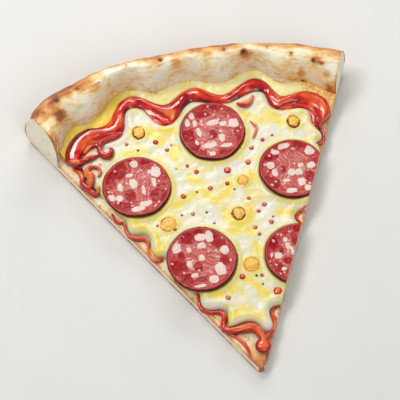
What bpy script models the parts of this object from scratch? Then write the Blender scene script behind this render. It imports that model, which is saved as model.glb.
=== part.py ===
"""A slice of pepperoni pizza, cut from a round pie: dough with its puffed rim, sauce, cheese and toppings.

Everything is worked out in millimetres on plan axes whose origin is the centre of the pie, which is
the sharp point that the two cuts share. +Y runs from there to the middle of the rim and +Z is up.
The empty "pie_centre" carries the pieces, and puts the middle of the slice's underside at the
world's origin. The meshes themselves are written in metres.
"""

import math

import bmesh
import bpy
import numpy as np
from mathutils import Matrix

MM = 0.001

# The pie and the cut
PIE_RADIUS = 178.0
HALF_ANGLE = math.radians(28.3)
TIP_ROUNDING = 2.5
CUT_LEAN_LEFT = 0.2
CUT_LEAN_RIGHT = 0.1

# Dough: a thin base and a puffed rim
BASE_THICKNESS = 5.5
RIM_HEIGHT = 24.0
RIM_BELLY_HEIGHT = 9.0
RIM_HEEL = 5.0
RIM_CROWN_INSET = 8.5
RIM_BULGE = 2.5
DOUGH_SECTIONS = 44

# Layers, one on the other
LAYER_GAP = 0.3
SAUCE_SHEET = 0.9
CHEESE_THICKNESS = 2.6
CHEESE_SWELL = 0.35
BORDER_THICKNESS = 3.2
LOWEST_BORDER = 149.0
RIBBON_MOST = 4.6

SAUCE_BOTTOM = BASE_THICKNESS + LAYER_GAP
CHEESE_BOTTOM = SAUCE_BOTTOM + SAUCE_SHEET + LAYER_GAP
CHEESE_TOP = CHEESE_BOTTOM + CHEESE_THICKNESS

# Pepperoni and toasted cheese bubbles
PEPPERONI_THICKNESS = 2.3
PEPPERONI_CURL = 1.0
PEPPERONI_SIDES = 34
BUBBLE_HEIGHT = 1.7
BUBBLE_SIDES = 14

# The rim's foot, the ribbon of sauce and the cheese wander together along the rim. Each row is a
# crest or a hollow: degrees from the slice's middle, distance of the sauce's outer edge from the
# centre, width of the golden cheese outside it, and width of the ribbon on its inside.
WAVES = [
    (-28.3, 148.5, 9.0, 11.0),
    (-22.0, 156.3, 3.5, 18.3),
    (-17.0, 152.3, 7.0, 9.5),
    (-10.8, 163.2, 3.7, 11.7),
    (-4.5, 152.6, 8.3, 14.0),
    (1.0, 158.8, 5.0, 9.4),
    (6.2, 152.7, 5.6, 6.4),
    (13.3, 160.2, 5.2, 10.2),
    (18.4, 151.0, 7.6, 10.3),
    (23.0, 155.3, 3.2, 12.0),
    (28.3, 149.0, 8.0, 15.0),
]

# Down the left side the sauce is a thin rope that snakes along the cut, and it thickens near the tip
LEFT_MARGIN = 2.3
SNAKE_LENGTH = 16.3
SNAKE_START = 35.6
SNAKE_SWING = 1.3
SIDE_ROPE = 2.4
TIP_STARTS = 62.0
TIP_SWING = 0.9
TIP_ROPE = 1.8
TIP_MARGIN = 19.5

# Down the right side the cheese was cut through, but for bays: how far along the cut, how deep, how wide
RIGHT_BAYS = [(124, 5.2, 8.5), (85, 6.4, 6.0), (31, 6.6, 8.0)]
CUT_OVERLAP = 1.6

# A drop of sauce hangs from the rope towards the point: its start, its end and its radius
DROP_START, DROP_END, DROP_RADIUS = (2.5, 20.0), (3.3, 11.4), 3.3

# The middle of the sauce and cheese, from which their edges are measured
FIELD_CENTRE = (0.0, 92.0)
FIELD_SIDES = 150
CORNER_ROUNDING = 7.0

# Each slice of pepperoni: name, centre on the plan, radius, and which way its lifted edge faces
PEPPERONI = [
    ("pepperoni_left", (-36.4, 108.3), 17.0, 200),
    ("pepperoni_top", (7.3, 129.0), 16.5, 70),
    ("pepperoni_low", (-13.9, 62.4), 16.8, 290),
    ("pepperoni_right", (40.7, 98.7), 16.5, 160),
    ("pepperoni_lower_right", (31.1, 53.2), 16.3, 180),
]
CUT_BY_THE_RIGHT_SIDE = ("pepperoni_right", "pepperoni_lower_right")

# Each bubble: centre, half its width and half its depth
BUBBLES = [
    ((-28.1, 137.5), 3.4, 4.0),
    ((48.5, 125.2), 3.5, 3.8),
    ((9.1, 80.9), 3.5, 3.8),
    ((9.1, 52.8), 4.0, 3.8),
    ((-25.0, 84.0), 4.2, 4.0),
    ((14.4, 98.5), 2.6, 3.4),
]


def clear_scene():
    """Removes whatever the scene starts with."""
    for thing in list(bpy.data.objects):
        bpy.data.objects.remove(thing)


def srgb(red, green, blue):
    """A colour given as 0 to 255 on the screen, as the linear values that a shader takes."""
    return [(value / 255 / 12.92) if value <= 10 else ((value / 255 + 0.055) / 1.055) ** 2.4 for value in (red, green, blue)]


def finish(name, colour, roughness):
    """A Principled material. Food has no metal in it."""
    material = bpy.data.materials.new(name)
    material.use_nodes = True
    shader = material.node_tree.nodes["Principled BSDF"]
    shader.inputs["Base Color"].default_value = [*srgb(*colour), 1.0]
    shader.inputs["Roughness"].default_value = roughness
    shader.inputs["Metallic"].default_value = 0.0
    return material


def along_rim(angle, column):
    """One column of WAVES at an angle, eased from row to row so that each crest and hollow is round."""
    rows = np.array(WAVES)
    place = np.interp(np.degrees(angle), rows[:, 0], np.arange(len(rows)))
    row = np.minimum(np.floor(place).astype(int), len(rows) - 2)
    share = (1 - np.cos(math.pi * (place - row))) / 2
    return rows[row, column] * (1 - share) + rows[row + 1, column] * share


def rim_foot(angle):
    """Distance from the pie's centre to the foot of the rim, at an angle from the slice's middle."""
    return float(along_rim(angle, 1) + along_rim(angle, 2))


def tip_distance(angle):
    """Distance from the sharp point to the rounded tip, whose arc touches both cuts."""
    centre = TIP_ROUNDING / math.sin(HALF_ANGLE)
    return centre * math.cos(angle) - math.sqrt(max(0.0, TIP_ROUNDING**2 - (centre * math.sin(angle)) ** 2))


def to_right_cut(angle):
    """Distance from the field centre to the right cut along a direction, or infinity away from it."""
    x, y = FIELD_CENTRE
    across = (math.cos(HALF_ANGLE), -math.sin(HALF_ANGLE))
    room = -(x * across[0] + y * across[1])
    speed = math.cos(angle) * across[0] + math.sin(angle) * across[1]
    return room / speed if speed > 1e-6 else math.inf


def least(first, second):
    """The lesser of two distances, with the corner where they cross rounded off."""
    near = np.maximum(CORNER_ROUNDING - abs(first - second), 0) / CORNER_ROUNDING
    return np.minimum(first, second) - near**2 * CORNER_ROUNDING / 4


def room(x, y, within):
    """How far points lie inside the sauce's edge (within = 0) or the cheese's edge (within = 1)."""
    across, along = x * math.cos(HALF_ANGLE), x * math.sin(HALF_ANGLE)
    up, side = y * math.cos(HALF_ANGLE), y * math.sin(HALF_ANGLE)
    angle, distance = np.arctan2(x, y), np.hypot(x, y)
    near_tip = np.clip((TIP_STARTS - up) / 20, 0, 1)
    rope = SIDE_ROPE + TIP_ROPE * near_tip

    snake = np.cos(2 * math.pi * (up - along - SNAKE_START) / SNAKE_LENGTH)
    left = side + across - (LEFT_MARGIN + (SNAKE_SWING + TIP_SWING * near_tip) * snake + rope * within)
    bays = sum(deep * np.exp(-(((up + along - at) / wide) ** 2)) for at, deep, wide in RIGHT_BAYS)
    right = side - across - (bays - CUT_OVERLAP - rope * (1 - within))
    rim = along_rim(angle, 1) - along_rim(angle, 3) * within - distance
    tip = distance - TIP_MARGIN - 1.3 * rope * within
    inside = least(least(left, rim), least(right, tip))
    if within:
        return inside

    start, run = np.array(DROP_START), np.subtract(DROP_END, DROP_START)
    share = np.clip(((x - start[0]) * run[0] + (y - start[1]) * run[1]) / (run @ run), 0, 1)
    drop = DROP_RADIUS - np.hypot(x - start[0] - share * run[0], y - start[1] - share * run[1])
    return np.maximum(inside, drop)


def reach(angles, within):
    """Distance from the field centre to the sauce's or the cheese's edge in each direction."""
    steps = np.arange(0.0, 110.0, 0.1)
    x = FIELD_CENTRE[0] + np.cos(angles)[:, None] * steps
    y = FIELD_CENTRE[1] + np.sin(angles)[:, None] * steps
    inside = room(x, y, within) > 0
    last = inside.shape[1] - 1 - np.argmax(inside[:, ::-1], axis=1)
    return np.minimum(steps[last], [to_right_cut(a) for a in angles])


def field_directions():
    """Directions from the field centre that are evenly spread along the sauce's edge, turning left."""
    angles = np.linspace(-math.pi, math.pi, 1500)
    edge = on_plan(angles, reach(angles, 0))
    along = np.concatenate([[0], np.cumsum(np.hypot(*np.diff(edge, axis=0).T))])
    return np.interp(np.linspace(0, along[-1], FIELD_SIDES, endpoint=False), along, angles)


def on_plan(angles, distances):
    """Plan points at these distances from the field centre."""
    x, y = FIELD_CENTRE
    return np.column_stack([x + distances * np.cos(angles), y + distances * np.sin(angles)])


def swell(point):
    """How far the cheese rises above its level at a point. It stays level where a topping sits."""
    x, y = point
    rise = CHEESE_SWELL * (math.sin(x / 7 + 1) * math.cos(y / 8) + 0.6 * math.sin((x + y) / 11))
    seats = [(centre, radius) for _, centre, radius, _ in PEPPERONI]
    seats += [(centre, wide) for centre, wide, _ in BUBBLES]
    for (seat_x, seat_y), radius in seats:
        outside = math.hypot(x - seat_x, y - seat_y) - radius
        rise *= min(1.0, max(0.0, (outside - 2.5) / 5.0))
    return rise


def skin(name, loops, material, holder):
    """A closed body from closed loops of points, each loop joined to the next and both ends filled.

    The loops turn left as seen from the last one, so that the faces point outwards.
    """
    shape = bmesh.new()
    rings = [[shape.verts.new([c * MM for c in point]) for point in loop] for loop in loops]
    for lower, upper in zip(rings, rings[1:]):
        for i in range(len(lower)):
            j = (i + 1) % len(lower)
            shape.faces.new([lower[i], lower[j], upper[j], upper[i]])
    shape.faces.new(rings[0][::-1])
    shape.faces.new(rings[-1])
    bmesh.ops.recalc_face_normals(shape, faces=shape.faces)
    mesh = bpy.data.meshes.new(name)
    shape.to_mesh(mesh)
    shape.free()
    mesh.shade_smooth()
    mesh.set_sharp_from_angle(angle=math.radians(40))
    mesh.materials.append(material)
    body = bpy.data.objects.new(name, mesh)
    bpy.context.scene.collection.objects.link(body)
    body.parent = holder
    return body


def leaning(angle, distance, height):
    """A point of the dough in plan and height. Above the rim's widest part, each cut leans inwards."""
    lean = CUT_LEAN_LEFT if angle < 0 else CUT_LEAN_RIGHT
    inwards = lean * max(0.0, height - RIM_BELLY_HEIGHT)
    turned = angle * (1 - inwards / (distance * HALF_ANGLE))
    return (distance * math.sin(turned), distance * math.cos(turned), height)


def dough_section(angle):
    """The dough's outline in one upright plane through the pie's centre, as (distance, height) pairs."""
    share = angle / HALF_ANGLE
    bulge = RIM_BULGE * math.sin(math.pi * min(0.0, share)) ** 2
    tip, foot, outer = tip_distance(angle), rim_foot(angle), PIE_RADIUS + bulge
    crown_at, crown = outer - RIM_CROWN_INSET, RIM_HEIGHT + 0.4 * bulge
    section = [(tip, 0.0), (70.0, 0.0), (130.0, 0.0)]
    for step in range(4):
        turn = step / 4 * math.pi / 2
        out = outer - RIM_HEEL + RIM_HEEL * math.sin(turn)
        section.append((out, RIM_BELLY_HEIGHT * (1 - math.cos(turn))))
    for step in range(11):
        turn = step / 10 * math.pi
        start, side = (RIM_BELLY_HEIGHT, RIM_CROWN_INSET) if step < 5 else (BASE_THICKNESS, crown_at - foot)
        section.append((crown_at + side * math.cos(turn), start + (crown - start) * math.sin(turn) ** 0.85))
    section += [(130.0, BASE_THICKNESS), (70.0, BASE_THICKNESS), (tip, BASE_THICKNESS)]
    return section


def build_dough(holder):
    """Base and rim are one piece of dough, skinned from one cut to the other."""
    angles = np.linspace(HALF_ANGLE, -HALF_ANGLE, DOUGH_SECTIONS + 1)
    loops = [[leaning(a, r, z) for r, z in dough_section(a)] for a in angles]
    return skin("dough", loops, finish("baked_dough", (226, 178, 120), 0.75), holder)


def build_cheese_border(holder):
    """The golden cheese that melted up against the rim, outside the ribbon of sauce."""
    angles = field_directions()
    sauce = on_plan(angles, reach(angles, 0))
    rim_side = sauce[np.hypot(*sauce.T) > LOWEST_BORDER]
    turned, far = np.arctan2(*rim_side.T), np.hypot(*rim_side.T)
    order = np.argsort(turned)[::-1]
    loops = []
    for angle, ribbon in zip([HALF_ANGLE, *turned[order], -HALF_ANGLE], [LOWEST_BORDER, *far[order], LOWEST_BORDER]):
        high = rim_foot(angle) - 3 * LAYER_GAP
        low = ribbon + 1.5 * LAYER_GAP
        wide = high - low
        floor, top = SAUCE_BOTTOM, SAUCE_BOTTOM + BORDER_THICKNESS
        section = [(low, floor), (high, floor), (high, top - 0.4), (high - 0.25 * wide, top),
                   (low + 0.3 * wide, top - 0.5), (low, top - 1.3)]
        loops.append([(r * math.sin(angle), r * math.cos(angle), z) for r, z in section])
    return skin("cheese_border", loops, finish("golden_cheese", (242, 208, 92), 0.35), holder)


def build_sauce(holder):
    """A thin sheet under the cheese that comes up round it as a rope: fat along the rim, thin elsewhere."""
    angles = field_directions()
    edge, cheese = reach(angles, 0), reach(angles, 1)
    cheese = np.minimum(cheese, edge - 0.3)
    width = edge - cheese
    sheet = SAUCE_BOTTOM + SAUCE_SHEET
    rope = np.clip(0.45 * width + 0.4, SAUCE_SHEET, RIBBON_MOST) - SAUCE_SHEET
    rope *= np.clip((width - 0.3) / 1.5, 0, 1)
    loops = [[(*p, SAUCE_BOTTOM) for p in on_plan(angles, edge)]]
    for share in (0.0, 0.2, 0.5, 0.8, 1.0):
        heights = sheet + rope * 2 * math.sqrt(share * (1 - share))
        loops.append([(*p, z) for p, z in zip(on_plan(angles, edge - share * width), heights)])
    loops.append([(*p, sheet) for p in on_plan(angles, 0.4 * cheese)])
    return skin("sauce", loops, finish("tomato_sauce", (190, 34, 24), 0.25), holder)


def build_cheese(holder):
    """The melted cheese, with rounded edges and low swellings between the toppings."""
    angles = field_directions()
    edge = reach(angles, 1)
    uncut = edge < [to_right_cut(a) for a in angles]
    edge = edge - LAYER_GAP * uncut
    loops = [[(*p, CHEESE_BOTTOM) for p in on_plan(angles, edge)]]
    for inwards, level in ((0.0, 0.45), (0.5, 0.85), (1.8, 1.0)):
        plan = on_plan(angles, edge - inwards)
        rise = CHEESE_THICKNESS * level
        loops.append([(*p, CHEESE_BOTTOM + rise + level * swell(p)) for p in plan])
    for share in (0.82, 0.6, 0.38, 0.14):
        plan = on_plan(angles, share * edge)
        loops.append([(*p, CHEESE_TOP + swell(p)) for p in plan])
    return skin("cheese", loops, finish("melted_cheese", (238, 226, 186), 0.4), holder)


def build_side_cutter(holder):
    """A block outside the right cut, which trims what would stick out past it."""
    bpy.ops.mesh.primitive_cube_add(size=1)
    block = bpy.context.object
    block.name = "right_side_cutter"
    width, length, height = 60.0 * MM, 260.0 * MM, 60.0 * MM
    aside = Matrix.Translation((width / 2, 80.0 * MM, 0))
    block.data.transform(aside @ Matrix.Diagonal((width, length, height, 1)))
    block.parent = holder
    block.rotation_euler.z = -HALF_ANGLE
    block.hide_render = True
    block.display_type = "WIRE"
    return block


def pepperoni_loops(radius, lifted):
    """The rounds of one slice of pepperoni: a shallow cup whose edge lifts more on one side."""
    profile = [(0.78, 0.0, 0.0), (0.95, 0.25, 0.5), (1.0, 1.0, 1.0), (0.985, 2.1, 1.0), (0.93, 2.5, 1.0),
               (0.84, 2.2, 0.6), (0.5, PEPPERONI_THICKNESS - 0.3, 0.15)]
    loops = []
    for share, height, curl in profile:
        loop = []
        for side in range(PEPPERONI_SIDES):
            turn = 2 * math.pi * side / PEPPERONI_SIDES
            out = radius * share * (1 + 0.012 * math.cos(3 * turn + lifted) - 0.006 * math.cos(5 * turn))
            lift = 0.5 * PEPPERONI_CURL * (1 + math.cos(turn - math.radians(lifted))) * curl
            loop.append((out * math.cos(turn), out * math.sin(turn), height + 0.6 * lift))
        loops.append(loop)
    return loops


def build_pepperoni(holder, cutter):
    """Five slices lying on the cheese. Two of them were cut through with the pizza."""
    meat = finish("pepperoni_meat", (176, 48, 42), 0.4)
    for name, (x, y), radius, lifted in PEPPERONI:
        body = skin(name, pepperoni_loops(radius, lifted), meat, holder)
        body.location = (x * MM, y * MM, (CHEESE_TOP + LAYER_GAP) * MM)
        if name in CUT_BY_THE_RIGHT_SIDE:
            trim = body.modifiers.new("right_side", "BOOLEAN")
            trim.operation = "DIFFERENCE"
            trim.solver = "EXACT"
            trim.object = cutter


def build_bubbles(holder):
    """Toasted bubbles of cheese, each a low dome."""
    toasted = finish("toasted_cheese", (232, 158, 52), 0.35)
    for number, ((x, y), wide, deep) in enumerate(BUBBLES, start=1):
        loops = []
        for share, height in ((0.9, 0.0), (1.0, 0.35), (0.86, 0.75), (0.5, 0.97)):
            turns = [2 * math.pi * side / BUBBLE_SIDES for side in range(BUBBLE_SIDES)]
            loops.append([(wide * share * math.cos(t), deep * share * math.sin(t), BUBBLE_HEIGHT * height) for t in turns])
        body = skin(f"cheese_bubble_{number}", loops, toasted, holder)
        body.location = (x * MM, y * MM, (CHEESE_TOP + LAYER_GAP) * MM)


def main():
    """Builds the slice from the dough up."""
    clear_scene()
    pie_centre = bpy.data.objects.new("pie_centre", None)
    bpy.context.scene.collection.objects.link(pie_centre)
    pie_centre.location.y = -(tip_distance(0.0) + PIE_RADIUS) / 2 * MM
    build_dough(pie_centre)
    build_cheese_border(pie_centre)
    build_sauce(pie_centre)
    build_cheese(pie_centre)
    build_pepperoni(pie_centre, build_side_cutter(pie_centre))
    build_bubbles(pie_centre)


main()
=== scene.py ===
"""The looks of a slice of pepperoni pizza: baked dough, sauce, melted cheese, pepperoni and what is strewn on it.

Shapes are worked out in millimetres on the pie's own axes, whose origin is the centre of the pie that
the slice was cut from. +Y runs from there to the middle of the crust's rim and +Z is up. Plan turns
them into the frame's metres.
"""

from __future__ import annotations

import logging
import math
from dataclasses import dataclass, field
from enum import Enum
from typing import Any

import bmesh
import bpy
import numpy as np
from mathutils import Matrix, Vector

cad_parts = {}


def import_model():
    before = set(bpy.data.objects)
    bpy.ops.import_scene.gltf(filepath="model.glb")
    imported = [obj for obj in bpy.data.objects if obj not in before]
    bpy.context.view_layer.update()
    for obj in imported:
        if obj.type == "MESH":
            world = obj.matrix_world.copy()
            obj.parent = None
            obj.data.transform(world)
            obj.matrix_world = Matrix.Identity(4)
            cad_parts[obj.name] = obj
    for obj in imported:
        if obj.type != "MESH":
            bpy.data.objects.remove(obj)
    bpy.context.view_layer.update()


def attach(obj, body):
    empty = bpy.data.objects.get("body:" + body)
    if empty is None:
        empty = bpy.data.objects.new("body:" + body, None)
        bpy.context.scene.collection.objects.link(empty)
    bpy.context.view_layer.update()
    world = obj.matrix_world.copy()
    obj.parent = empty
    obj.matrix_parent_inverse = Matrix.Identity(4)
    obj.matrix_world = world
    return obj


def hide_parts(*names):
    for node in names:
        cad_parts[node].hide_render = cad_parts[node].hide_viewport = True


LOG = logging.getLogger("pizza_slice")
MM = 0.001
BODY = "root"
Colour = tuple[float, float, float, float]


def srgb(red: int, green: int, blue: int) -> Colour:
    """Turns a screen colour into the linear values that a shader takes.

    Args:
        red: 0 to 255.
        green: 0 to 255.
        blue: 0 to 255.

    Returns:
        Linear red, green and blue, and an alpha of one.
    """
    parts = [value / 255 for value in (red, green, blue)]
    linear = [v / 12.92 if v <= 0.04045 else ((v + 0.055) / 1.055) ** 2.4 for v in parts]
    return (linear[0], linear[1], linear[2], 1.0)


def smooth(values: np.ndarray, low: float, high: float) -> np.ndarray:
    """Eases values from 0 at low to 1 at high.

    Args:
        values: Numbers to ease.
        low: Where the result leaves 0.
        high: Where the result reaches 1. It may be less than low.

    Returns:
        The eased numbers, from 0 to 1.
    """
    share = np.clip((values - low) / (high - low), 0.0, 1.0)
    return share * share * (3.0 - 2.0 * share)


def bump_of(values: np.ndarray, middle: float, width: float) -> np.ndarray:
    """A round bump of height one, `width` to each side of `middle`."""
    return np.exp(-(((values - middle) / width) ** 2))


def spline(points: list[tuple[float, ...]], spacing: float) -> np.ndarray:
    """Runs a smooth curve through points.

    Args:
        points: Places, in order, each with any number of values.
        spacing: Largest step along the curve, over the first two values.

    Returns:
        The curve's points, one row each.
    """
    given = np.array(points, float)
    padded = np.vstack([2 * given[0] - given[1], given, 2 * given[-1] - given[-2]])
    rows = []
    for before, start, end, after in zip(padded, padded[1:], padded[2:], padded[3:]):
        steps = max(2, math.ceil(float(np.hypot(*(end - start)[:2])) / spacing))
        t = (np.arange(steps) / steps)[:, None]
        rows.append(
            0.5 * (2 * start + (end - before) * t + (2 * before - 5 * start + 4 * end - after) * t**2
                   + (3 * start - before - 3 * end + after) * t**3)
        )
    return np.vstack([*rows, given[-1:]])


def distance_to_runs(x: np.ndarray, y: np.ndarray, starts: np.ndarray, ends: np.ndarray) -> np.ndarray:
    """Distance on the plan from points to the nearest of some straight runs.

    Args:
        x: The points' first values.
        y: The points' second values.
        starts: Where each run starts, one row each.
        ends: Where each run ends.

    Returns:
        One distance for each point.
    """
    nearest = np.full(np.shape(x), np.inf)
    for (ax, ay), (bx, by) in zip(starts[:, :2], ends[:, :2]):
        run_x, run_y = bx - ax, by - ay
        share = np.clip(((x - ax) * run_x + (y - ay) * run_y) / (run_x**2 + run_y**2 + 1e-9), 0, 1)
        nearest = np.minimum(nearest, (x - ax - share * run_x) ** 2 + (y - ay - share * run_y) ** 2)
    return np.sqrt(nearest)


@dataclass(frozen=True)
class Grain:
    """Smooth seeded noise in space, for relief that has to be in the mesh."""

    seed: int
    size: float
    octaves: int = 2

    def at(self, points: np.ndarray) -> np.ndarray:
        """Reads the noise.

        Args:
            points: Places in millimetres, one row each.

        Returns:
            Values from about -1 to 1.
        """
        total = sum(0.5**k * self._layer(points * 2.0**k / self.size, self.seed * 7 + k) for k in range(self.octaves))
        return total / (2 - 0.5 ** (self.octaves - 1))

    @staticmethod
    def _layer(places: np.ndarray, seed: int) -> np.ndarray:
        """One octave: random values at whole numbers, eased between them.

        Args:
            places: Places in cells.
            seed: Chooses the random values.

        Returns:
            Values from -1 to 1.
        """
        cell = np.floor(places).astype(np.int64)
        part = places - cell
        part = part * part * (3 - 2 * part)
        total = np.zeros(len(places))
        for corner in np.ndindex(2, 2, 2):
            at = cell + corner
            mixed = (at[:, 0] * 374761393 + at[:, 1] * 668265263 + at[:, 2] * 1440662683 + seed * 1274126177) & 0xFFFFFFFF
            mixed = ((mixed ^ (mixed >> 13)) * 1274126177) & 0xFFFFFFFF
            value = ((mixed ^ (mixed >> 16)) & 0xFFFF) / 32767.5 - 1
            total += value * np.prod(np.where(corner, part, 1 - part), axis=1)
        return total


@dataclass(frozen=True)
class Plan:
    """The sizes that all pieces share, and the rules that give the edges of rim, sauce and cheese.

    The rim's foot, and the border that fills the gap between it and the sauce, are given by their crests
    and hollows, each an angle in degrees from the slice's middle and a distance from the pie's centre.
    The sauce and the cheese end at shores: places on the plan, in order, with a smooth curve through them.
    """

    pie_radius: float = 178.0
    half_angle: float = math.radians(28.3)
    tip_rounding: float = 2.5
    lean_left: float = 0.2
    lean_right: float = 0.1
    base_top: float = 5.5
    rim_height: float = 24.0
    belly_height: float = 9.0
    heel: float = 5.0
    crown_inset: float = 8.5
    bulge: float = 2.5
    shoulder: float = 2.2
    cheese_top: float = 9.6
    topping_bottom: float = 9.65
    centre: tuple[float, float] = (0.0, 92.0)
    first_turn: float = -math.pi / 3
    rim_foot_crests: tuple[tuple[float, float], ...] = (
        (-28.3, 150.5), (-26.2, 155.6), (-22.3, 162.0), (-19.0, 159.4), (-10.4, 168.4), (-5.2, 161.5), (0.4, 163.6),
        (6.4, 159.0), (13.0, 165.6), (18.0, 158.3), (22.3, 160.1), (28.3, 156.4),
    )
    border_crests: tuple[tuple[float, float], ...] = (
        (-27.2, 148.0), (-21.0, 155.5), (-16.2, 152.5), (-9.8, 162.0), (-4.2, 152.0), (1.6, 157.6), (7.0, 151.0),
        (13.2, 158.8), (18.4, 149.6), (23.4, 153.0), (28.3, 145.0),
    )
    sauce_shore: tuple[tuple[float, float], ...] = (
        (61.5, 121.0), (65.4, 123.6), (67.6, 126.2), (69.5, 130.0), (69.8, 133.9), (68.0, 138.2), (63.9, 142.1), (59.2, 143.9),
        (54.0, 143.8), (49.5, 143.5), (46.8, 144.7), (44.3, 149.2), (41.9, 154.1), (38.2, 157.1), (33.8, 157.5), (28.1, 155.4),
        (23.1, 153.2), (18.4, 152.3), (14.4, 153.8), (10.0, 157.2), (5.5, 159.6), (-1.0, 158.8), (-5.6, 156.1), (-9.6, 153.9),
        (-12.9, 153.7), (-16.4, 155.4), (-20.9, 159.2), (-25.5, 162.1), (-29.4, 162.2), (-34.5, 159.8), (-38.3, 155.0),
        (-40.8, 151.3), (-43.7, 148.9), (-48.4, 148.2), (-54.1, 148.8), (-59.9, 146.6), (-64.3, 142.4), (-67.2, 137.5),
        (-67.4, 132.8), (-65.0, 129.9),
    )
    cheese_shore: tuple[tuple[float, float], ...] = (
        (38.5, 68.5), (36.6, 71.4), (35.6, 73.4), (35.8, 76.2), (38.6, 78.4), (43.5, 80.4), (56.0, 100.5), (57.4, 107.5),
        (57.6, 113.0), (60.2, 115.0), (60.6, 118.0), (59.4, 121.0), (58.2, 124.4), (58.7, 128.6), (58.0, 131.8),
        (55.0, 134.2), (50.1, 135.0), (45.1, 135.7), (41.8, 137.3), (40.1, 140.7), (39.7, 144.8), (38.6, 147.6), (36.2, 149.0),
        (33.1, 149.2), (29.2, 148.3), (24.4, 147.0), (19.8, 146.3), (13.0, 147.4), (7.0, 149.5), (1.5, 151.0), (-2.9, 148.4),
        (-5.8, 144.9), (-10.0, 141.6), (-14.3, 140.9), (-17.9, 143.3), (-20.6, 148.1), (-22.9, 152.1), (-25.8, 154.5),
        (-29.6, 154.6), (-32.3, 152.2), (-33.7, 148.1), (-34.8, 143.5), (-38.0, 140.0), (-41.9, 138.6), (-46.2, 138.6),
        (-49.8, 138.8), (-53.6, 138.0), (-56.5, 135.8), (-58.2, 133.2), (-59.4, 130.4), (-59.8, 126.6), (-59.2, 122.0),
        (-57.6, 117.0), (-55.0, 112.0), (-52.5, 107.0), (-50.3, 102.0), (-48.4, 97.6), (-46.8, 95.8), (-45.3, 92.6),
        (-45.3, 89.2), (-44.3, 85.9), (-41.6, 84.7), (-37.8, 83.9), (-35.9, 80.8), (-36.4, 76.2), (-36.3, 72.9), (-34.9, 70.5),
        (-31.8, 69.6), (-29.5, 66.0), (-27.0, 58.0), (-22.5, 50.5), (-19.8, 46.1), (-19.8, 44.0), (-20.0, 41.0), (-19.1, 38.5),
        (-16.1, 36.9), (-12.0, 36.2), (-9.9, 34.9), (-9.3, 32.6), (-9.9, 29.9), (-10.6, 27.6), (-10.1, 26.1), (-8.3, 25.7),
        (-4.8, 26.4), (-1.4, 26.6), (1.7, 25.7), (3.7, 23.8), (5.0, 21.3), (6.7, 19.8), (8.8, 19.8), (10.1, 21.3), (10.3, 23.4),
        (10.2, 26.2), (10.7, 29.4), (12.6, 31.3), (15.6, 32.0), (19.5, 33.4),
    )

    @property
    def pie_centre_y(self) -> float:
        """Where the pie's centre lies on the frame's Y axis, in metres."""
        return -(self.tip_distance(np.zeros(1))[0] + self.pie_radius) / 2 * MM

    def to_frame(self, points: np.ndarray) -> np.ndarray:
        """Millimetres on the pie's axes to metres in the frame."""
        return np.asarray(points, float) * MM + np.array([0.0, self.pie_centre_y, 0.0])

    def from_frame(self, points: np.ndarray) -> np.ndarray:
        """Metres in the frame to millimetres on the pie's axes."""
        return (np.asarray(points, float) - np.array([0.0, self.pie_centre_y, 0.0])) / MM

    @staticmethod
    def along_rim(angle: np.ndarray, crests: tuple[tuple[float, float], ...]) -> np.ndarray:
        """Reads an edge that follows the rim, eased so that each crest and hollow is round.

        Args:
            angle: Angles from the slice's middle, in radians.
            crests: The edge's crests and hollows.

        Returns:
            Distances from the pie's centre.
        """
        degrees, distances = np.array(crests).T
        place = np.interp(np.degrees(angle), degrees, np.arange(len(degrees)))
        row = np.minimum(np.floor(place).astype(int), len(degrees) - 2)
        share = (1 - np.cos(math.pi * (place - row))) / 2
        return distances[row] * (1 - share) + distances[row + 1] * share

    def rim_foot(self, angle: np.ndarray) -> np.ndarray:
        """Distance from the pie's centre to the foot of the rim."""
        return self.along_rim(angle, self.rim_foot_crests)

    def rim_outer(self, angle: np.ndarray) -> np.ndarray:
        """Distance from the pie's centre to the outside of the rim."""
        share = np.minimum(0.0, angle / self.half_angle)
        degrees = np.degrees(angle)
        shoulder = self.shoulder * (bump_of(degrees, -23.6, 3.4) - smooth(degrees, -26.4, -28.3))
        return self.pie_radius + self.bulge * np.sin(math.pi * share) ** 2 + shoulder

    def rim_crown(self, angle: np.ndarray) -> np.ndarray:
        """Height of the rim."""
        share = np.minimum(0.0, angle / self.half_angle)
        return self.rim_height + 0.4 * self.bulge * np.sin(math.pi * share) ** 2

    def rim_top(self, angle: np.ndarray, distance: np.ndarray) -> np.ndarray:
        """Height of the dough's upper side.

        Args:
            angle: Angles from the slice's middle.
            distance: Distances from the pie's centre.

        Returns:
            Heights: the flat base up to the rim's foot, and the puffed rim outside it.
        """
        crown_at = self.rim_outer(angle) - self.crown_inset
        outside = distance >= crown_at
        side = np.where(outside, self.crown_inset, crown_at - self.rim_foot(angle))
        start = np.where(outside, self.belly_height, self.base_top)
        fullness = 2.0 + np.where(outside, 0.0, 1.6 * smooth(np.degrees(angle), -22.0, -27.5))
        away = np.clip(np.abs(distance - crown_at) / side, 0, 1)
        return start + (self.rim_crown(angle) - start) * np.clip(1 - away**fullness, 0, 1) ** 0.425

    def tip_distance(self, angle: np.ndarray) -> np.ndarray:
        """Distance from the sharp point to the rounded tip."""
        centre = self.tip_rounding / math.sin(self.half_angle)
        return centre * np.cos(angle) - np.sqrt(np.maximum(0, self.tip_rounding**2 - (centre * np.sin(angle)) ** 2))

    def from_right_cut(self, x: np.ndarray, y: np.ndarray) -> np.ndarray:
        """How far points lie inside the right cut."""
        return y * math.sin(self.half_angle) - x * math.cos(self.half_angle)

    def from_left_cut(self, x: np.ndarray, y: np.ndarray) -> np.ndarray:
        """How far points lie inside the left cut."""
        return y * math.sin(self.half_angle) + x * math.cos(self.half_angle)

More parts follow.
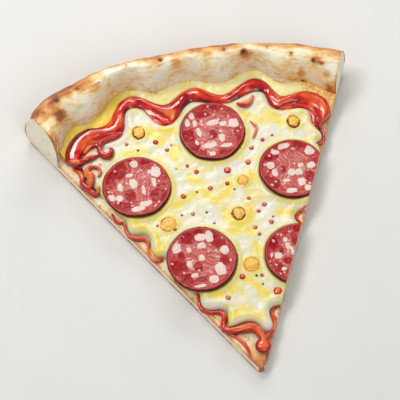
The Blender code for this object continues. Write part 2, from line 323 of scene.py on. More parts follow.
    def polar(self, path: np.ndarray) -> tuple[np.ndarray, np.ndarray]:
        """Directions and distances of plan points from the field's centre.

        Args:
            path: Plan points, turning left about the centre.

        Returns:
            Directions that never fall back, within one turn from the first one, and the distances.
        """
        turns, reach = self.polar_of(*path.T)
        return np.maximum.accumulate(turns), reach

    def polar_of(self, x: np.ndarray, y: np.ndarray) -> tuple[np.ndarray, np.ndarray]:
        """Direction and distance of each plan point from the field's centre."""
        x, y = x - self.centre[0], y - self.centre[1]
        return (np.arctan2(y, x) - self.first_turn) % (2 * math.pi) + self.first_turn, np.hypot(x, y)

    def clipped(self, turns: np.ndarray, reach: np.ndarray) -> tuple[np.ndarray, np.ndarray]:
        """Ends distances at the right cut.

        Args:
            turns: Directions from the field's centre.
            reach: Distances in them.

        Returns:
            The distances, and whether the cut ends each of them.
        """
        speed = np.cos(turns) * math.cos(self.half_angle) - np.sin(turns) * math.sin(self.half_angle)
        gap = self.from_right_cut(*np.array(self.centre))
        cut = np.where(speed > 1e-6, gap / np.maximum(speed, 1e-6), np.inf)
        return np.minimum(reach, cut), cut <= reach

    def cheese_reach(self, turns: np.ndarray) -> tuple[np.ndarray, np.ndarray]:
        """The cheese's edge, as distances from the field's centre, and whether the right cut ends each."""
        known, reach = self.polar(spline(list(self.cheese_shore), 0.5))
        return self.clipped(turns, np.interp(turns, known, reach, left=300.0, right=300.0))

    def sauce_reach(self, turns: np.ndarray) -> tuple[np.ndarray, np.ndarray]:
        """The sauce's edge: the ribbon's along the rim, and under the cheese everywhere else."""
        known, reach = self.polar(spline(list(self.sauce_shore), 0.5))
        cheese, cut = self.cheese_reach(turns)
        degrees = np.degrees(turns)
        shown = smooth(degrees, 24.5, 27.5) * smooth(degrees, 151.5, 149.0)
        hidden = np.where(cut, cheese, cheese - 1.3)
        ribbon = np.maximum(np.interp(turns, known, reach), cheese + 0.5)
        return self.clipped(turns, hidden * (1 - shown) + ribbon * shown)

    def directions(self, count: int) -> np.ndarray:
        """Directions from the field's centre that are evenly spread along the sauce's edge.

        Args:
            count: How many.

        Returns:
            Angles in radians, turning left.
        """
        turns = np.linspace(self.first_turn, self.first_turn + 2 * math.pi, 6000)
        reach, _ = self.cheese_reach(turns)
        edge = self.on_plan(turns, reach)
        along = np.concatenate([[0], np.cumsum(np.hypot(*np.diff(edge, axis=0).T))])
        return np.interp(np.linspace(0, along[-1], count, endpoint=False), along, turns)

    def on_plan(self, turns: np.ndarray, distances: np.ndarray) -> np.ndarray:
        """Plan points at distances from the field's centre."""
        return np.column_stack([self.centre[0] + distances * np.cos(turns), self.centre[1] + distances * np.sin(turns)])


def grid_faces(rows: int, columns: int, closed: bool, first: int = 0) -> np.ndarray:
    """Quads between rows of points that are numbered row by row.

    Args:
        rows: How many rows.
        columns: Points in each row.
        closed: Whether each row's last point is joined to its first.
        first: Number of the first point.

    Returns:
        Four point numbers for each quad. They turn left as seen from the side where the rows
        climb and the columns run right.
    """
    numbers = first + np.arange(rows * columns).reshape(rows, columns)
    if closed:
        numbers = np.hstack([numbers, numbers[:, :1]])
    corners = [numbers[:-1, :-1], numbers[:-1, 1:], numbers[1:, 1:], numbers[1:, :-1]]
    return np.stack([c.ravel() for c in corners], axis=1)


@dataclass
class Shape:
    """Points in millimetres on the pie's axes, the faces between them, and traits with a value for each point."""

    points: np.ndarray
    faces: list[Any]
    traits: dict[str, np.ndarray] = field(default_factory=dict)

    def to_mesh(self, name: str, plan: Plan, weld: float = 0.002) -> bpy.types.Mesh:
        """Makes a closed mesh whose faces point outwards.

        Args:
            name: The mesh's name.
            plan: Places the shape in the frame.
            weld: Points nearer than this, in millimetres, become one.

        Returns:
            The mesh, with each trait as an attribute.
        """
        mesh = bpy.data.meshes.new(name)
        mesh.from_pydata(plan.to_frame(self.points).tolist(), [], [list(map(int, face)) for face in self.faces])
        for trait, values in self.traits.items():
            set_trait(mesh, trait, values)
        work = bmesh.new()
        work.from_mesh(mesh)
        bmesh.ops.remove_doubles(work, verts=work.verts, dist=weld * MM)
        bmesh.ops.dissolve_degenerate(work, edges=work.edges, dist=1e-7)
        bmesh.ops.recalc_face_normals(work, faces=work.faces)
        work.to_mesh(mesh)
        work.free()
        return mesh


def set_trait(mesh: bpy.types.Mesh, trait: str, values: np.ndarray) -> None:
    """Writes a value for each point of a mesh.

    Args:
        mesh: The mesh.
        trait: Name of the attribute.
        values: One number for each point.
    """
    layer = mesh.attributes.get(trait) or mesh.attributes.new(trait, "FLOAT", "POINT")
    layer.data.foreach_set("value", np.asarray(values, np.float32))


def read_points(mesh: bpy.types.Mesh, plan: Plan) -> tuple[np.ndarray, np.ndarray]:
    """Reads a mesh's points, in millimetres on the pie's axes, and their normals."""
    points = np.empty(len(mesh.vertices) * 3, np.float32)
    normals = np.empty(len(mesh.vertices) * 3, np.float32)
    mesh.vertices.foreach_get("co", points)
    mesh.vertices.foreach_get("normal", normals)
    return plan.from_frame(points.reshape(-1, 3)), normals.reshape(-1, 3).astype(float)


def write_points(mesh: bpy.types.Mesh, plan: Plan, points: np.ndarray) -> None:
    """Moves a mesh's points to places in millimetres on the pie's axes."""
    mesh.vertices.foreach_set("co", plan.to_frame(points).astype(np.float32).ravel())
    mesh.update()


def show(mesh: bpy.types.Mesh, material: bpy.types.Material, crease: float = 55.0) -> bpy.types.Object:
    """Puts a finished mesh into the scene.

    Args:
        mesh: The mesh, whose name the object takes.
        material: Its finish.
        crease: Faces that meet at more than this many degrees keep a sharp edge.

    Returns:
        The object, at the origin.
    """
    mesh.shade_smooth()
    mesh.set_sharp_from_angle(angle=math.radians(crease))
    mesh.materials.clear()
    mesh.materials.append(material)
    piece = bpy.data.objects.new(mesh.name, mesh)
    bpy.context.scene.collection.objects.link(piece)
    return piece


def settle(piece: bpy.types.Object, slot: str, *nodes: str) -> None:
    """Attaches a finished piece to the body and hides the CAD nodes that it stands for.

    Args:
        piece: The finished piece.
        slot: Not used.
        nodes: The CAD nodes that it stands for.
    """
    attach(piece, BODY)
    if nodes:
        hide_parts(*nodes)
    LOG.info("%s: %d points, stands for %s", piece.name, len(piece.data.vertices), ", ".join(nodes) or "nothing")


class Nodes:
    """Adds nodes to a shader tree or a geometry tree and joins them up."""

    def __init__(self, tree: bpy.types.NodeTree) -> None:
        """Keeps the tree."""
        self.tree = tree

    def add(self, kind: str, inputs: dict[Any, Any] | None = None, **settings: Any) -> bpy.types.Node:
        """Adds a node.

        Args:
            kind: The node's type.
            inputs: Sockets to feed, by name or number, with a value or another node's output.
            **settings: The node's own properties.

        Returns:
            The node.
        """
        node = self.tree.nodes.new(kind)
        for key, value in settings.items():
            setattr(node, key, value)
        for key, value in (inputs or {}).items():
            self.feed(node.inputs[key], value)
        return node

    def feed(self, socket: bpy.types.NodeSocket, value: Any) -> None:
        """Gives a socket a value, or a link from another socket."""
        if isinstance(value, bpy.types.NodeSocket):
            self.tree.links.new(value, socket)
        else:
            socket.default_value = value

    def math(self, operation: str, first: Any, second: Any = 0.0, clamp: bool = False) -> bpy.types.NodeSocket:
        """The result of a sum on one or two numbers."""
        return self.add("ShaderNodeMath", {0: first, 1: second}, operation=operation, use_clamp=clamp).outputs[0]

    def ease(self, value: Any, low: float, high: float, start: float = 0.0, end: float = 1.0) -> bpy.types.NodeSocket:
        """A number eased from start to end while the value goes from low to high."""
        inputs = {"Value": value, "From Min": low, "From Max": high, "To Min": start, "To Max": end}
        return self.add("ShaderNodeMapRange", inputs, interpolation_type="SMOOTHSTEP").outputs[0]

    def noise(self, coords: Any, size: float, detail: float = 3.0, roughness: float = 0.55,
              distortion: float = 0.0) -> bpy.types.NodeSocket:
        """Noise whose grain measures `size` millimetres."""
        inputs = {"Vector": coords, "Scale": 1 / (size * MM), "Detail": detail, "Roughness": roughness,
                  "Distortion": distortion}
        return self.add("ShaderNodeTexNoise", inputs).outputs[0]

    def cells(self, coords: Any, size: float, **settings: Any) -> bpy.types.Node:
        """Voronoi cells that measure `size` millimetres."""
        return self.add("ShaderNodeTexVoronoi", {"Vector": coords, "Scale": 1 / (size * MM)}, **settings)

    def red(self, cells: bpy.types.Node) -> bpy.types.NodeSocket:
        """A random number for each cell of a Voronoi node."""
        return self.add("ShaderNodeSeparateXYZ", {0: cells.outputs["Color"]}).outputs[0]

    def mix(self, share: Any, first: Any, second: Any, blend: str = "MIX") -> bpy.types.NodeSocket:
        """Mixes two colours.

        Args:
            share: How much of the second.
            first: A colour or a socket.
            second: A colour or a socket.
            blend: How the second is laid over the first.

        Returns:
            The mixed colour.
        """
        node = self.add("ShaderNodeMix", {0: share, 6: first, 7: second}, data_type="RGBA", blend_type=blend)
        return node.outputs[2]

    def stretched(self, coords: Any, scale: tuple[float, float, float]) -> bpy.types.NodeSocket:
        """Coordinates scaled along each axis."""
        return self.add("ShaderNodeVectorMath", {0: coords, 1: scale}, operation="MULTIPLY").outputs[0]

    def warped(self, coords: Any, size: float, amount: float) -> bpy.types.NodeSocket:
        """Coordinates pushed about by noise, so that round patterns turn ragged.

        Args:
            coords: The coordinates.
            size: Grain of the push, in millimetres.
            amount: Its strength, in millimetres.

        Returns:
            The pushed coordinates.
        """
        noise = self.add("ShaderNodeTexNoise", {"Vector": coords, "Scale": 1 / (size * MM), "Detail": 2.0})
        centred = self.add("ShaderNodeVectorMath", {0: noise.outputs["Color"], 1: (0.5, 0.5, 0.5)}, operation="SUBTRACT")
        scaled = self.add("ShaderNodeVectorMath", {0: centred.outputs[0], "Scale": amount * MM * 2}, operation="SCALE")
        return self.add("ShaderNodeVectorMath", {0: coords, 1: scaled.outputs[0]}, operation="ADD").outputs[0]


class Paint(Nodes):
    """A material's shader tree, round one Principled shader."""

    def __init__(self, name: str, **fixed: Any) -> None:
        """Makes the material.

        Args:
            name: The material's name.
            **fixed: Values for the shader's sockets, with _ for the spaces in their names.
        """
        self.material = bpy.data.materials.new(name)
        self.material.use_nodes = True
        super().__init__(self.material.node_tree)
        self.shader = self.tree.nodes["Principled BSDF"]
        for key, value in fixed.items():
            self.feed(self.shader.inputs[key.replace("_", " ")], value)
        self.coords = self.add("ShaderNodeTexCoord").outputs["Object"]

    def trait(self, name: str) -> bpy.types.NodeSocket:
        """A trait of the mesh."""
        return self.add("ShaderNodeAttribute", attribute_name=name).outputs["Fac"]

    def flow(self, first: str, second: str, slow: float, quick: float) -> bpy.types.NodeSocket:
        """Coordinates that run with the surface, from two traits given in millimetres.

        Args:
            first: The trait along the flow.
            second: The trait across it.
            slow: Scale of the first.
            quick: Scale of the second.

        Returns:
            The coordinates, in metres.
        """
        along = self.math("MULTIPLY", self.trait(first), slow * MM)
        across = self.math("MULTIPLY", self.trait(second), quick * MM)
        return self.add("ShaderNodeCombineXYZ", {0: along, 1: across, 2: 1.3 * MM}).outputs[0]

    def ramp(self, value: Any, stops: list[tuple[float, Colour]]) -> bpy.types.NodeSocket:
        """Colours along a scale.

        Args:
            value: Where on the scale.
            stops: Places on it and their colours.

        Returns:
            The colour.
        """
        node = self.add("ShaderNodeValToRGB", {0: value})
        elements = node.color_ramp.elements
        while len(elements) < len(stops):
            elements.new(0.5)
        for element, (place, colour) in zip(elements, stops):
            element.position, element.color = place, colour
        return node.outputs[0]

    def raise_by(self, *layers: tuple[Any, float]) -> None:
        """Adds fine relief.

        Args:
            *layers: Each a height from 0 to 1, and how many millimetres that is.
        """
        normal = None
        for height, depth in layers:
            inputs = {"Height": height, "Distance": depth * MM, "Strength": 1.0}
            if normal is not None:
                inputs["Normal"] = normal
            normal = self.add("ShaderNodeBump", inputs).outputs[0]
        self.feed(self.shader.inputs["Normal"], normal)


@dataclass(frozen=True)
class DoughFinish:
    """Baked dough: floury cream that goes golden, brown and scorched, and a pale crumb where it is cut."""

    flour: Colour = srgb(253, 247, 230)
    cream: Colour = srgb(249, 230, 190)
    honey: Colour = srgb(240, 200, 104)
    golden: Colour = srgb(232, 178, 104)
    amber: Colour = srgb(206, 132, 76)
    brown: Colour = srgb(152, 86, 48)
    scorched: Colour = srgb(88, 40, 26)
    crumb: Colour = srgb(252, 244, 224)

    def make(self) -> bpy.types.Material:
        """Builds the material, which reads the traits bake, scorch, crumb, along and out."""
        paint = Paint("baked_dough", Metallic=0.0, Specular_IOR_Level=0.35, Subsurface_Weight=0.08,
                      Subsurface_Radius=(1.0, 0.6, 0.3), Subsurface_Scale=0.002)
        broad = paint.noise(paint.coords, 10.0, 4.0, 0.55)
        fine = paint.noise(paint.coords, 1.6, 4.0, 0.65)
        streaks = paint.noise(paint.flow("along", "out", 0.28, 0.8), 3.6, 4.0, 0.6, 1.2)
        strokes = paint.noise(paint.flow("along", "out", 0.14, 1.0), 1.1, 2.0, 0.5, 0.3)
        patches = paint.noise(paint.coords, 7.0, 4.0, 0.6, 1.0)
        bake = paint.math("ADD", paint.trait("bake"), paint.ease(broad, 0.3, 0.7, -0.16, 0.16))
        bake = paint.math("ADD", bake, paint.ease(streaks, 0.38, 0.7, -0.08, 0.2))
        bake = paint.math("ADD", bake, paint.ease(strokes, 0.54, 0.72, 0.0, 0.08))
        bake = paint.math("ADD", bake, paint.ease(fine, 0.3, 0.7, -0.05, 0.05), clamp=True)
        skin = paint.ramp(bake, [(0.0, self.flour), (0.24, self.cream), (0.5, self.golden), (0.72, self.amber),
                                 (1.0, self.brown)])
        honey = paint.math("MULTIPLY", paint.ease(patches, 0.53, 0.64, 0.0, 0.6), paint.ease(bake, 0.6, 0.36))
        skin = paint.mix(honey, skin, self.honey)
        scorch = paint.math("ADD", paint.trait("scorch"), paint.ease(fine, 0.3, 0.7, -0.18, 0.14))
        skin = paint.mix(paint.ease(scorch, 0.1, 0.5, 0.0, 0.85), skin, self.brown)
        skin = paint.mix(paint.ease(scorch, 0.55, 1.0), skin, self.scorched)

        pores = paint.cells(paint.warped(paint.coords, 3.4, 1.4), 2.8, feature="SMOOTH_F1").outputs[0]
        crumb = paint.mix(paint.ease(pores, 0.08, 0.34, 0.2, 0.0), self.crumb, self.golden)
        crumb = paint.mix(paint.ease(bake, 0.24, 0.7), crumb, skin)
        colour = paint.mix(paint.trait("crumb"), skin, crumb)
        paint.feed(paint.shader.inputs["Base Color"], colour)
        paint.feed(paint.shader.inputs["Roughness"], paint.ease(bake, 0.0, 1.0, 0.86, 0.52))
        holes = paint.math("MULTIPLY", paint.ease(pores, 0.06, 0.4), paint.trait("crumb"))
        specks = paint.noise(paint.coords, 0.7, 3.0, 0.6)
        paint.raise_by((broad, 0.4), (fine, 0.25), (specks, 0.1), (holes, 0.25))
        return paint.material


@dataclass(frozen=True)
class CheeseFinish:
    """Melted cheese: cream with yellow streaks, oily by the toppings, and toasted where it bubbled; its yellow and
    toast colours also carry the painted shadow and shade that the pieces' traits lay.
    """

    name: str = "melted_cheese"
    cream: Colour = srgb(227, 223, 205)
    pale: Colour = srgb(230, 218, 148)
    yellow: Colour = srgb(240, 212, 66)
    toasted: Colour = srgb(212, 142, 56)
    roughness: float = 0.34

    def make(self) -> bpy.types.Material:
        """Builds the material, which reads the traits yellow and toast."""
        paint = Paint(self.name, Metallic=0.0, Subsurface_Weight=0.22, Subsurface_Radius=(1.0, 0.75, 0.35),
                      Subsurface_Scale=0.003, Coat_Weight=0.25, Coat_Roughness=0.18)
        broad = paint.noise(paint.coords, 8.0, 3.0, 0.5)
        pushed = paint.warped(paint.coords, 7.0, 5.0)
        strands = paint.noise(paint.stretched(pushed, (1.0, 0.42, 1.0)), 2.4, 3.0, 0.6, 0.4)
        fine = paint.noise(paint.coords, 1.1, 3.0, 0.6)
        yellow = paint.math("ADD", paint.trait("yellow"), paint.ease(strands, 0.3, 0.7, -0.2, 0.2))
        yellow = paint.math("ADD", yellow, paint.ease(fine, 0.3, 0.7, -0.06, 0.06))
        colour = paint.mix(paint.ease(broad, 0.45, 0.68, 0.0, 0.35), self.cream, self.pale)
        colour = paint.mix(paint.ease(yellow, 0.1, 0.42), colour, self.pale)
        strong = paint.mix(paint.ease(fine, 0.35, 0.65, 0.0, 0.35), self.yellow, self.pale)
        colour = paint.mix(paint.ease(yellow, 0.46, 0.82, 0.0, 0.95), colour, strong)
        toast = paint.math("ADD", paint.trait("toast"), paint.ease(fine, 0.3, 0.7, -0.22, 0.22))
        colour = paint.mix(paint.ease(toast, 0.35, 0.85), colour, self.toasted)
        paint.feed(paint.shader.inputs["Base Color"], colour)
        paint.feed(paint.shader.inputs["Roughness"],
                   paint.ease(strands, 0.3, 0.7, self.roughness - 0.08, self.roughness + 0.12))
        paint.raise_by((strands, 0.22), (fine, 0.06))
        return paint.material


@dataclass(frozen=True)
class SauceFinish:
    """Cooked tomato sauce: wet red, dark where it is deep, orange where it is thin, with painted shade where its
    surface turns down at an edge and, on the drops, a painted orange highlight on their tops.
    """

    # The darkest red, reached where the edge trait lays painted shade.
    edge: Colour = srgb(88, 4, 16)
    deep: Colour = srgb(158, 10, 16)
    bright: Colour = srgb(206, 26, 20)
    warm: Colour = srgb(228, 80, 36)
    thin: Colour = srgb(234, 124, 52)

    def make(self) -> bpy.types.Material:
        """Builds the material, which reads the traits thin, edge, along and across."""
        paint = Paint("tomato_sauce", Metallic=0.0, Coat_Weight=0.75, Coat_Roughness=0.04,
                      Specular_IOR_Level=0.35, Subsurface_Weight=0.1, Subsurface_Radius=(1.0, 0.2, 0.1), Subsurface_Scale=0.0015)
        streaks = paint.noise(paint.flow("along", "across", 0.34, 1.0), 3.6, 1.5, 0.5, 0.8)
        broad = paint.noise(paint.coords, 6.0, 3.0, 0.55, 0.5)
        pulp = paint.noise(paint.coords, 1.0, 3.0, 0.6)
        depth = paint.math("ADD", 0.44, paint.ease(streaks, 0.3, 0.7, 0.3, -0.3))
        depth = paint.math("ADD", depth, paint.ease(broad, 0.35, 0.65, 0.1, -0.1))
        # Painted shade: the edge trait darkens the sauce where its surface turns down.
        depth = paint.math("ADD", depth, paint.math("MULTIPLY", paint.trait("edge"), 0.5))
        # The thin trait turns it orange where it is thin; on the drops it is a painted highlight on their up-facing
        # tops.
        depth = paint.math("SUBTRACT", depth, paint.math("MULTIPLY", paint.trait("thin"), 0.5), clamp=True)
        colour = paint.ramp(depth, [(0.0, self.thin), (0.24, self.warm), (0.48, self.bright), (0.76, self.deep),
                                    (1.0, self.edge)])
        paint.feed(paint.shader.inputs["Base Color"], colour)
        paint.feed(paint.shader.inputs["Roughness"], paint.ease(broad, 0.3, 0.7, 0.1, 0.22))
        paint.raise_by((streaks, 0.24), (pulp, 0.03))
        return paint.material


@dataclass(frozen=True)
class MeatFinish:
    """Pepperoni: cured red meat, marbled pink, with pieces of white fat and a dark skin, and on its lifted edge a
    painted highlight band and a painted line of shade.
    """

    meat: Colour = srgb(178, 22, 27)
    lean: Colour = srgb(154, 2, 12)
    pink: Colour = srgb(202, 108, 98)
    fat: Colour = srgb(234, 218, 206)
    # Painted highlight: the lighter red band on the lifted edge.
    ring: Colour = srgb(196, 62, 60)
    skin: Colour = srgb(80, 12, 22)

    def make(self) -> bpy.types.Material:
        """Builds the material, which reads the traits fat, lean, rim, own_x and own_y."""
        paint = Paint("pepperoni_meat", Metallic=0.0, Coat_Weight=0.12, Coat_Roughness=0.1,
                      Specular_IOR_Level=0.2, Subsurface_Weight=0.1, Subsurface_Radius=(1.0, 0.35, 0.25),
                      Subsurface_Scale=0.0015)
        own = paint.flow("own_x", "own_y", 1.0, 1.0)
        share = paint.add("ShaderNodeVectorMath", {0: own}, operation="LENGTH").outputs["Value"]
        share = paint.math("DIVIDE", share, 16.6 * MM)
        broad = paint.noise(paint.coords, 7.0, 2.0, 0.5, 0.6)
        marbling = paint.noise(paint.coords, 2.2, 4.0, 0.6, 2.0)
        fine = paint.noise(paint.coords, 0.8, 3.0, 0.6)
        swirl = paint.add("ShaderNodeTexWave", {
            "Vector": paint.warped(paint.warped(paint.coords, 9.0, 7.0), 3.0, 1.6), "Scale": 130.0, "Distortion": 4.0,
            "Detail": 2.0}, wave_type="RINGS", rings_direction="SPHERICAL").outputs[1]
        inner = paint.math("ADD", paint.ease(share, 0.95, 0.35), paint.ease(broad, 0.35, 0.65, -0.3, 0.3))
        colour = paint.mix(paint.ease(marbling, 0.42, 0.6, 0.0, 0.7), self.meat, self.pink)
        colour = paint.mix(paint.ease(inner, 0.3, 1.0, 0.0, 0.5), colour, self.pink)
        lines = paint.math("MULTIPLY", paint.ease(swirl, 0.72, 0.95), paint.ease(inner, 0.1, 0.7, 0.0, 0.28))
        colour = paint.mix(lines, colour, self.fat)
        ragged = paint.ease(paint.noise(paint.coords, 1.9, 3.0, 0.6), 0.3, 0.7, -0.2, 0.2)
        lean = paint.ease(paint.math("ADD", paint.trait("lean"), ragged), 0.16, 0.5, 0.0, 0.94)
        colour = paint.mix(lean, colour, paint.mix(paint.ease(marbling, 0.4, 0.62, 0.0, 0.5), self.lean, self.meat))
        crumbs = paint.cells(paint.warped(paint.coords, 2.0, 0.8), 2.3, voronoi_dimensions="3D")
        few = paint.ease(paint.math("FRACT", paint.math("MULTIPLY", paint.red(crumbs), 5.7)), 0.6, 0.66)
        small = paint.math("MULTIPLY", paint.ease(crumbs.outputs["Distance"], 0.34, 0.22, 0.0, 0.8), few)
        fat = paint.ease(paint.math("ADD", paint.trait("fat"), ragged), 0.44, 0.56)
        fat = paint.math("MAXIMUM", fat, small)
        colour = paint.mix(fat, colour, paint.mix(paint.ease(fine, 0.35, 0.7, 0.0, 0.3), self.fat, self.pink))
        # Bands round the lifted edge: a painted line of shade at its inner foot, a lighter band that is a painted
        # highlight, and the dark skin on its outside.
        for low, high, share, tone in ((0.26, 0.36, 0.6, self.skin), (0.44, 0.54, 0.95, self.ring), (0.82, 0.94, 1.0, self.skin)):
            colour = paint.mix(paint.ease(paint.trait("rim"), low, high, 0.0, share), colour, tone)
        paint.feed(paint.shader.inputs["Base Color"], colour)
        paint.feed(paint.shader.inputs["Roughness"], paint.ease(marbling, 0.3, 0.7, 0.34, 0.5))
        paint.raise_by((marbling, 0.14), (fine, 0.08))
        return paint.material


@dataclass(frozen=True)
class PlainFinish:
    """A finish of two colours mixed by noise, for small or simple things."""

    name: str
    first: Colour
    second: Colour
    grain: float
    roughness: float
    relief: float = 0.0
    coat: float = 0.0

    def make(self) -> bpy.types.Material:
        """Builds the material."""
        paint = Paint(self.name, Metallic=0.0, Roughness=self.roughness, Coat_Weight=self.coat, Coat_Roughness=0.1)
        noise = paint.noise(paint.coords, self.grain, 3.0, 0.6)
        paint.feed(paint.shader.inputs["Base Color"], paint.mix(paint.ease(noise, 0.35, 0.65), self.first, self.second))
        if self.relief:
            paint.raise_by((noise, self.relief))
        return paint.material


Patch = tuple[float, float, float, float]


@dataclass(frozen=True)
class Topping:
    """A slice of pepperoni on the plan, with its larger pieces of fat and its deep red patches.

    Each patch is given by its place from the slice's centre and its half sizes, along both axes.
    """

    name: str
    centre: tuple[float, float]
    radius: float
    lifted: float
    fat: tuple[Patch, ...]
    lean: tuple[Patch, ...]
    cut: bool = False


@dataclass(frozen=True)
class Bubble:
    """A bubble of toasted cheese on the plan."""

    centre: tuple[float, float]
    wide: float
    deep: float
    rise: float = 1.6
    # Strength of the painted shade, in dark toast colour, round the bubble's foot.
    ring: float = 1.0


TOPPINGS = (
    Topping("pepperoni_left", (-36.3, 108.3), 17.0, 200, fat=(
        (1.5, 12.5, 1.8, 1.8), (11, 6, 2.4, 3), (8, 7, 1, 1.2), (-2, 7, 1.8, 1), (-8, 1.5, 1.3, 2.4), (-13.3, -3.5, 1.8, 1.8),
        (-9.6, -4.5, 1.8, 1.9), (9, 0.5, 1.2, 2.4), (-1, 2, 1.9, 2.6), (2.5, -10, 3, 1.6), (-1.5, -12.2, 3.4, 1.6),
        (3, -2.5, 0.9, 2.6)), lean=(
        (-7, 11, 4.2, 4.2), (7.5, 12.5, 2.6, 1.6), (9.5, -7, 3.4, 3.8), (-9.5, -9.5, 4.2, 2.8), (-4, -4, 2.4, 3.6),
        (-12.5, 7, 2.2, 2.8))),
    Topping("pepperoni_top", (7.5, 130.0), 16.5, 70, fat=(
        (-8, 11, 1.3, 2), (-11.2, 7.6, 1.3, 2.3), (-7.5, 6.5, 1.2, 2), (11.5, 2, 2.4, 2.6), (1.5, 4.8, 3.4, 1.4),
        (-6.5, 1, 1.3, 2.6), (4, -4.5, 1.6, 2.3), (-3, -7.5, 3.8, 1.6), (5, -9.4, 3.2, 1.1), (-3, -12.6, 1.6, 1.3),
        (-9, -4.5, 0.8, 1.5), (6.5, 3, 2, 1.4)), lean=(
        (0, -1.5, 1.9, 2.4), (-12.5, 0, 3, 3.6), (-11.5, -6.5, 3.4, 2.4), (4.5, 12.5, 4, 1.9), (-2.5, 10.5, 3.4, 1.6),
        (-8.5, -11, 3, 2.2), (12.5, -4.5, 1.6, 4), (4.5, -13.2, 4, 1.2))),
    Topping("pepperoni_low", (-14.5, 62.2), 17.4, 290, fat=(
        (2, 11.5, 2.6, 1.8), (6.3, 11, 1.8, 3), (1.5, 7, 2.2, 1.6), (-11, 8.5, 2.4, 2.6), (-5, 6, 1.2, 1.4), (-6.5, -1.5, 1.4, 1.8),
        (-5.5, -8, 1.8, 1.2), (11.8, 2, 2, 2.2), (7.5, -7.5, 2.5, 3.4), (3, -12.2, 2.4, 2), (-4.5, -14.2, 3.4, 0.9),
        (0, 0.5, 1.2, 1.6)), lean=(
        (1.5, 14.4, 2.2, 1.2), (-4, 12, 3.4, 3), (10, 7.5, 3.6, 3.4), (-9, 3.5, 1.4, 2.6), (10.6, -3.5, 2.2, 2.6),
        (-12, -2.5, 4.2, 3.8), (-9.5, -9.5, 2.8, 2.8), (-2.5, -4, 2.0, 2.6), (-2, -10.6, 2.6, 1.5))),
    Topping("pepperoni_right", (40.9, 99.8), 16.6, 160, fat=(
        (-1, 13, 3.2, 1.4), (-6, 11, 2, 1.5), (11, 7.5, 2.5, 2.2), (-10, 4, 1.8, 2), (-9, -0.5, 1.4, 2), (-1, -2, 1.9, 2),
        (2.6, -2.5, 1.9, 1.8), (9.5, -0.5, 2, 1.7), (2.5, -8.5, 1.8, 2.1), (-3.5, -12, 2.8, 1.5), (5, -12.5, 1.8, 1.7),
        (-4.5, -6, 1.7, 0.9), (4.5, 1, 1.6, 1.2)), lean=(
        (7, 12.5, 3, 2.2), (-8.5, 8.4, 3.2, 1.8), (7.5, -6.5, 2.2, 3.2), (-11.5, -6, 3.4, 3.4), (-13.6, -1.5, 1.4, 2),
        (-4.5, 0.6, 1.2, 2.2)), cut=True),
    Topping("pepperoni_lower_right", (31.2, 53.8), 16.4, 180, fat=(
        (-9.5, 1, 1.8, 1.6), (-3.5, 5, 1.2, 2), (-8.5, -6.5, 1.2, 1), (-4, 8.5, 1.2, 1.2), (-12.5, 2, 0.6, 1.1),
        (-2, 2, 0.7, 2.4)), lean=(
        (-10, 8, 2, 4), (-7.5, 4.5, 1.2, 2), (2.5, 13, 1.4, 1.8), (-5.5, -2.5, 2, 1.8), (-10.5, -6, 2.8, 2.8), (0.5, 8, 1.4, 3)),
        cut=True),
)
BUBBLES = (
    Bubble((-28.4, 138.9), 3.2, 3.9),
    Bubble((48.7, 126.4), 3.3, 3.7),
    Bubble((9.1, 82.3), 3.4, 3.8),
    Bubble((8.4, 54.1), 3.9, 3.6, rise=1.2, ring=0.12),
    Bubble((-25.7, 85.0), 3.9, 3.7, rise=0.8, ring=0.0),
    Bubble((15.7, 99.9), 2.7, 2.6, rise=1.1, ring=0.1),
)


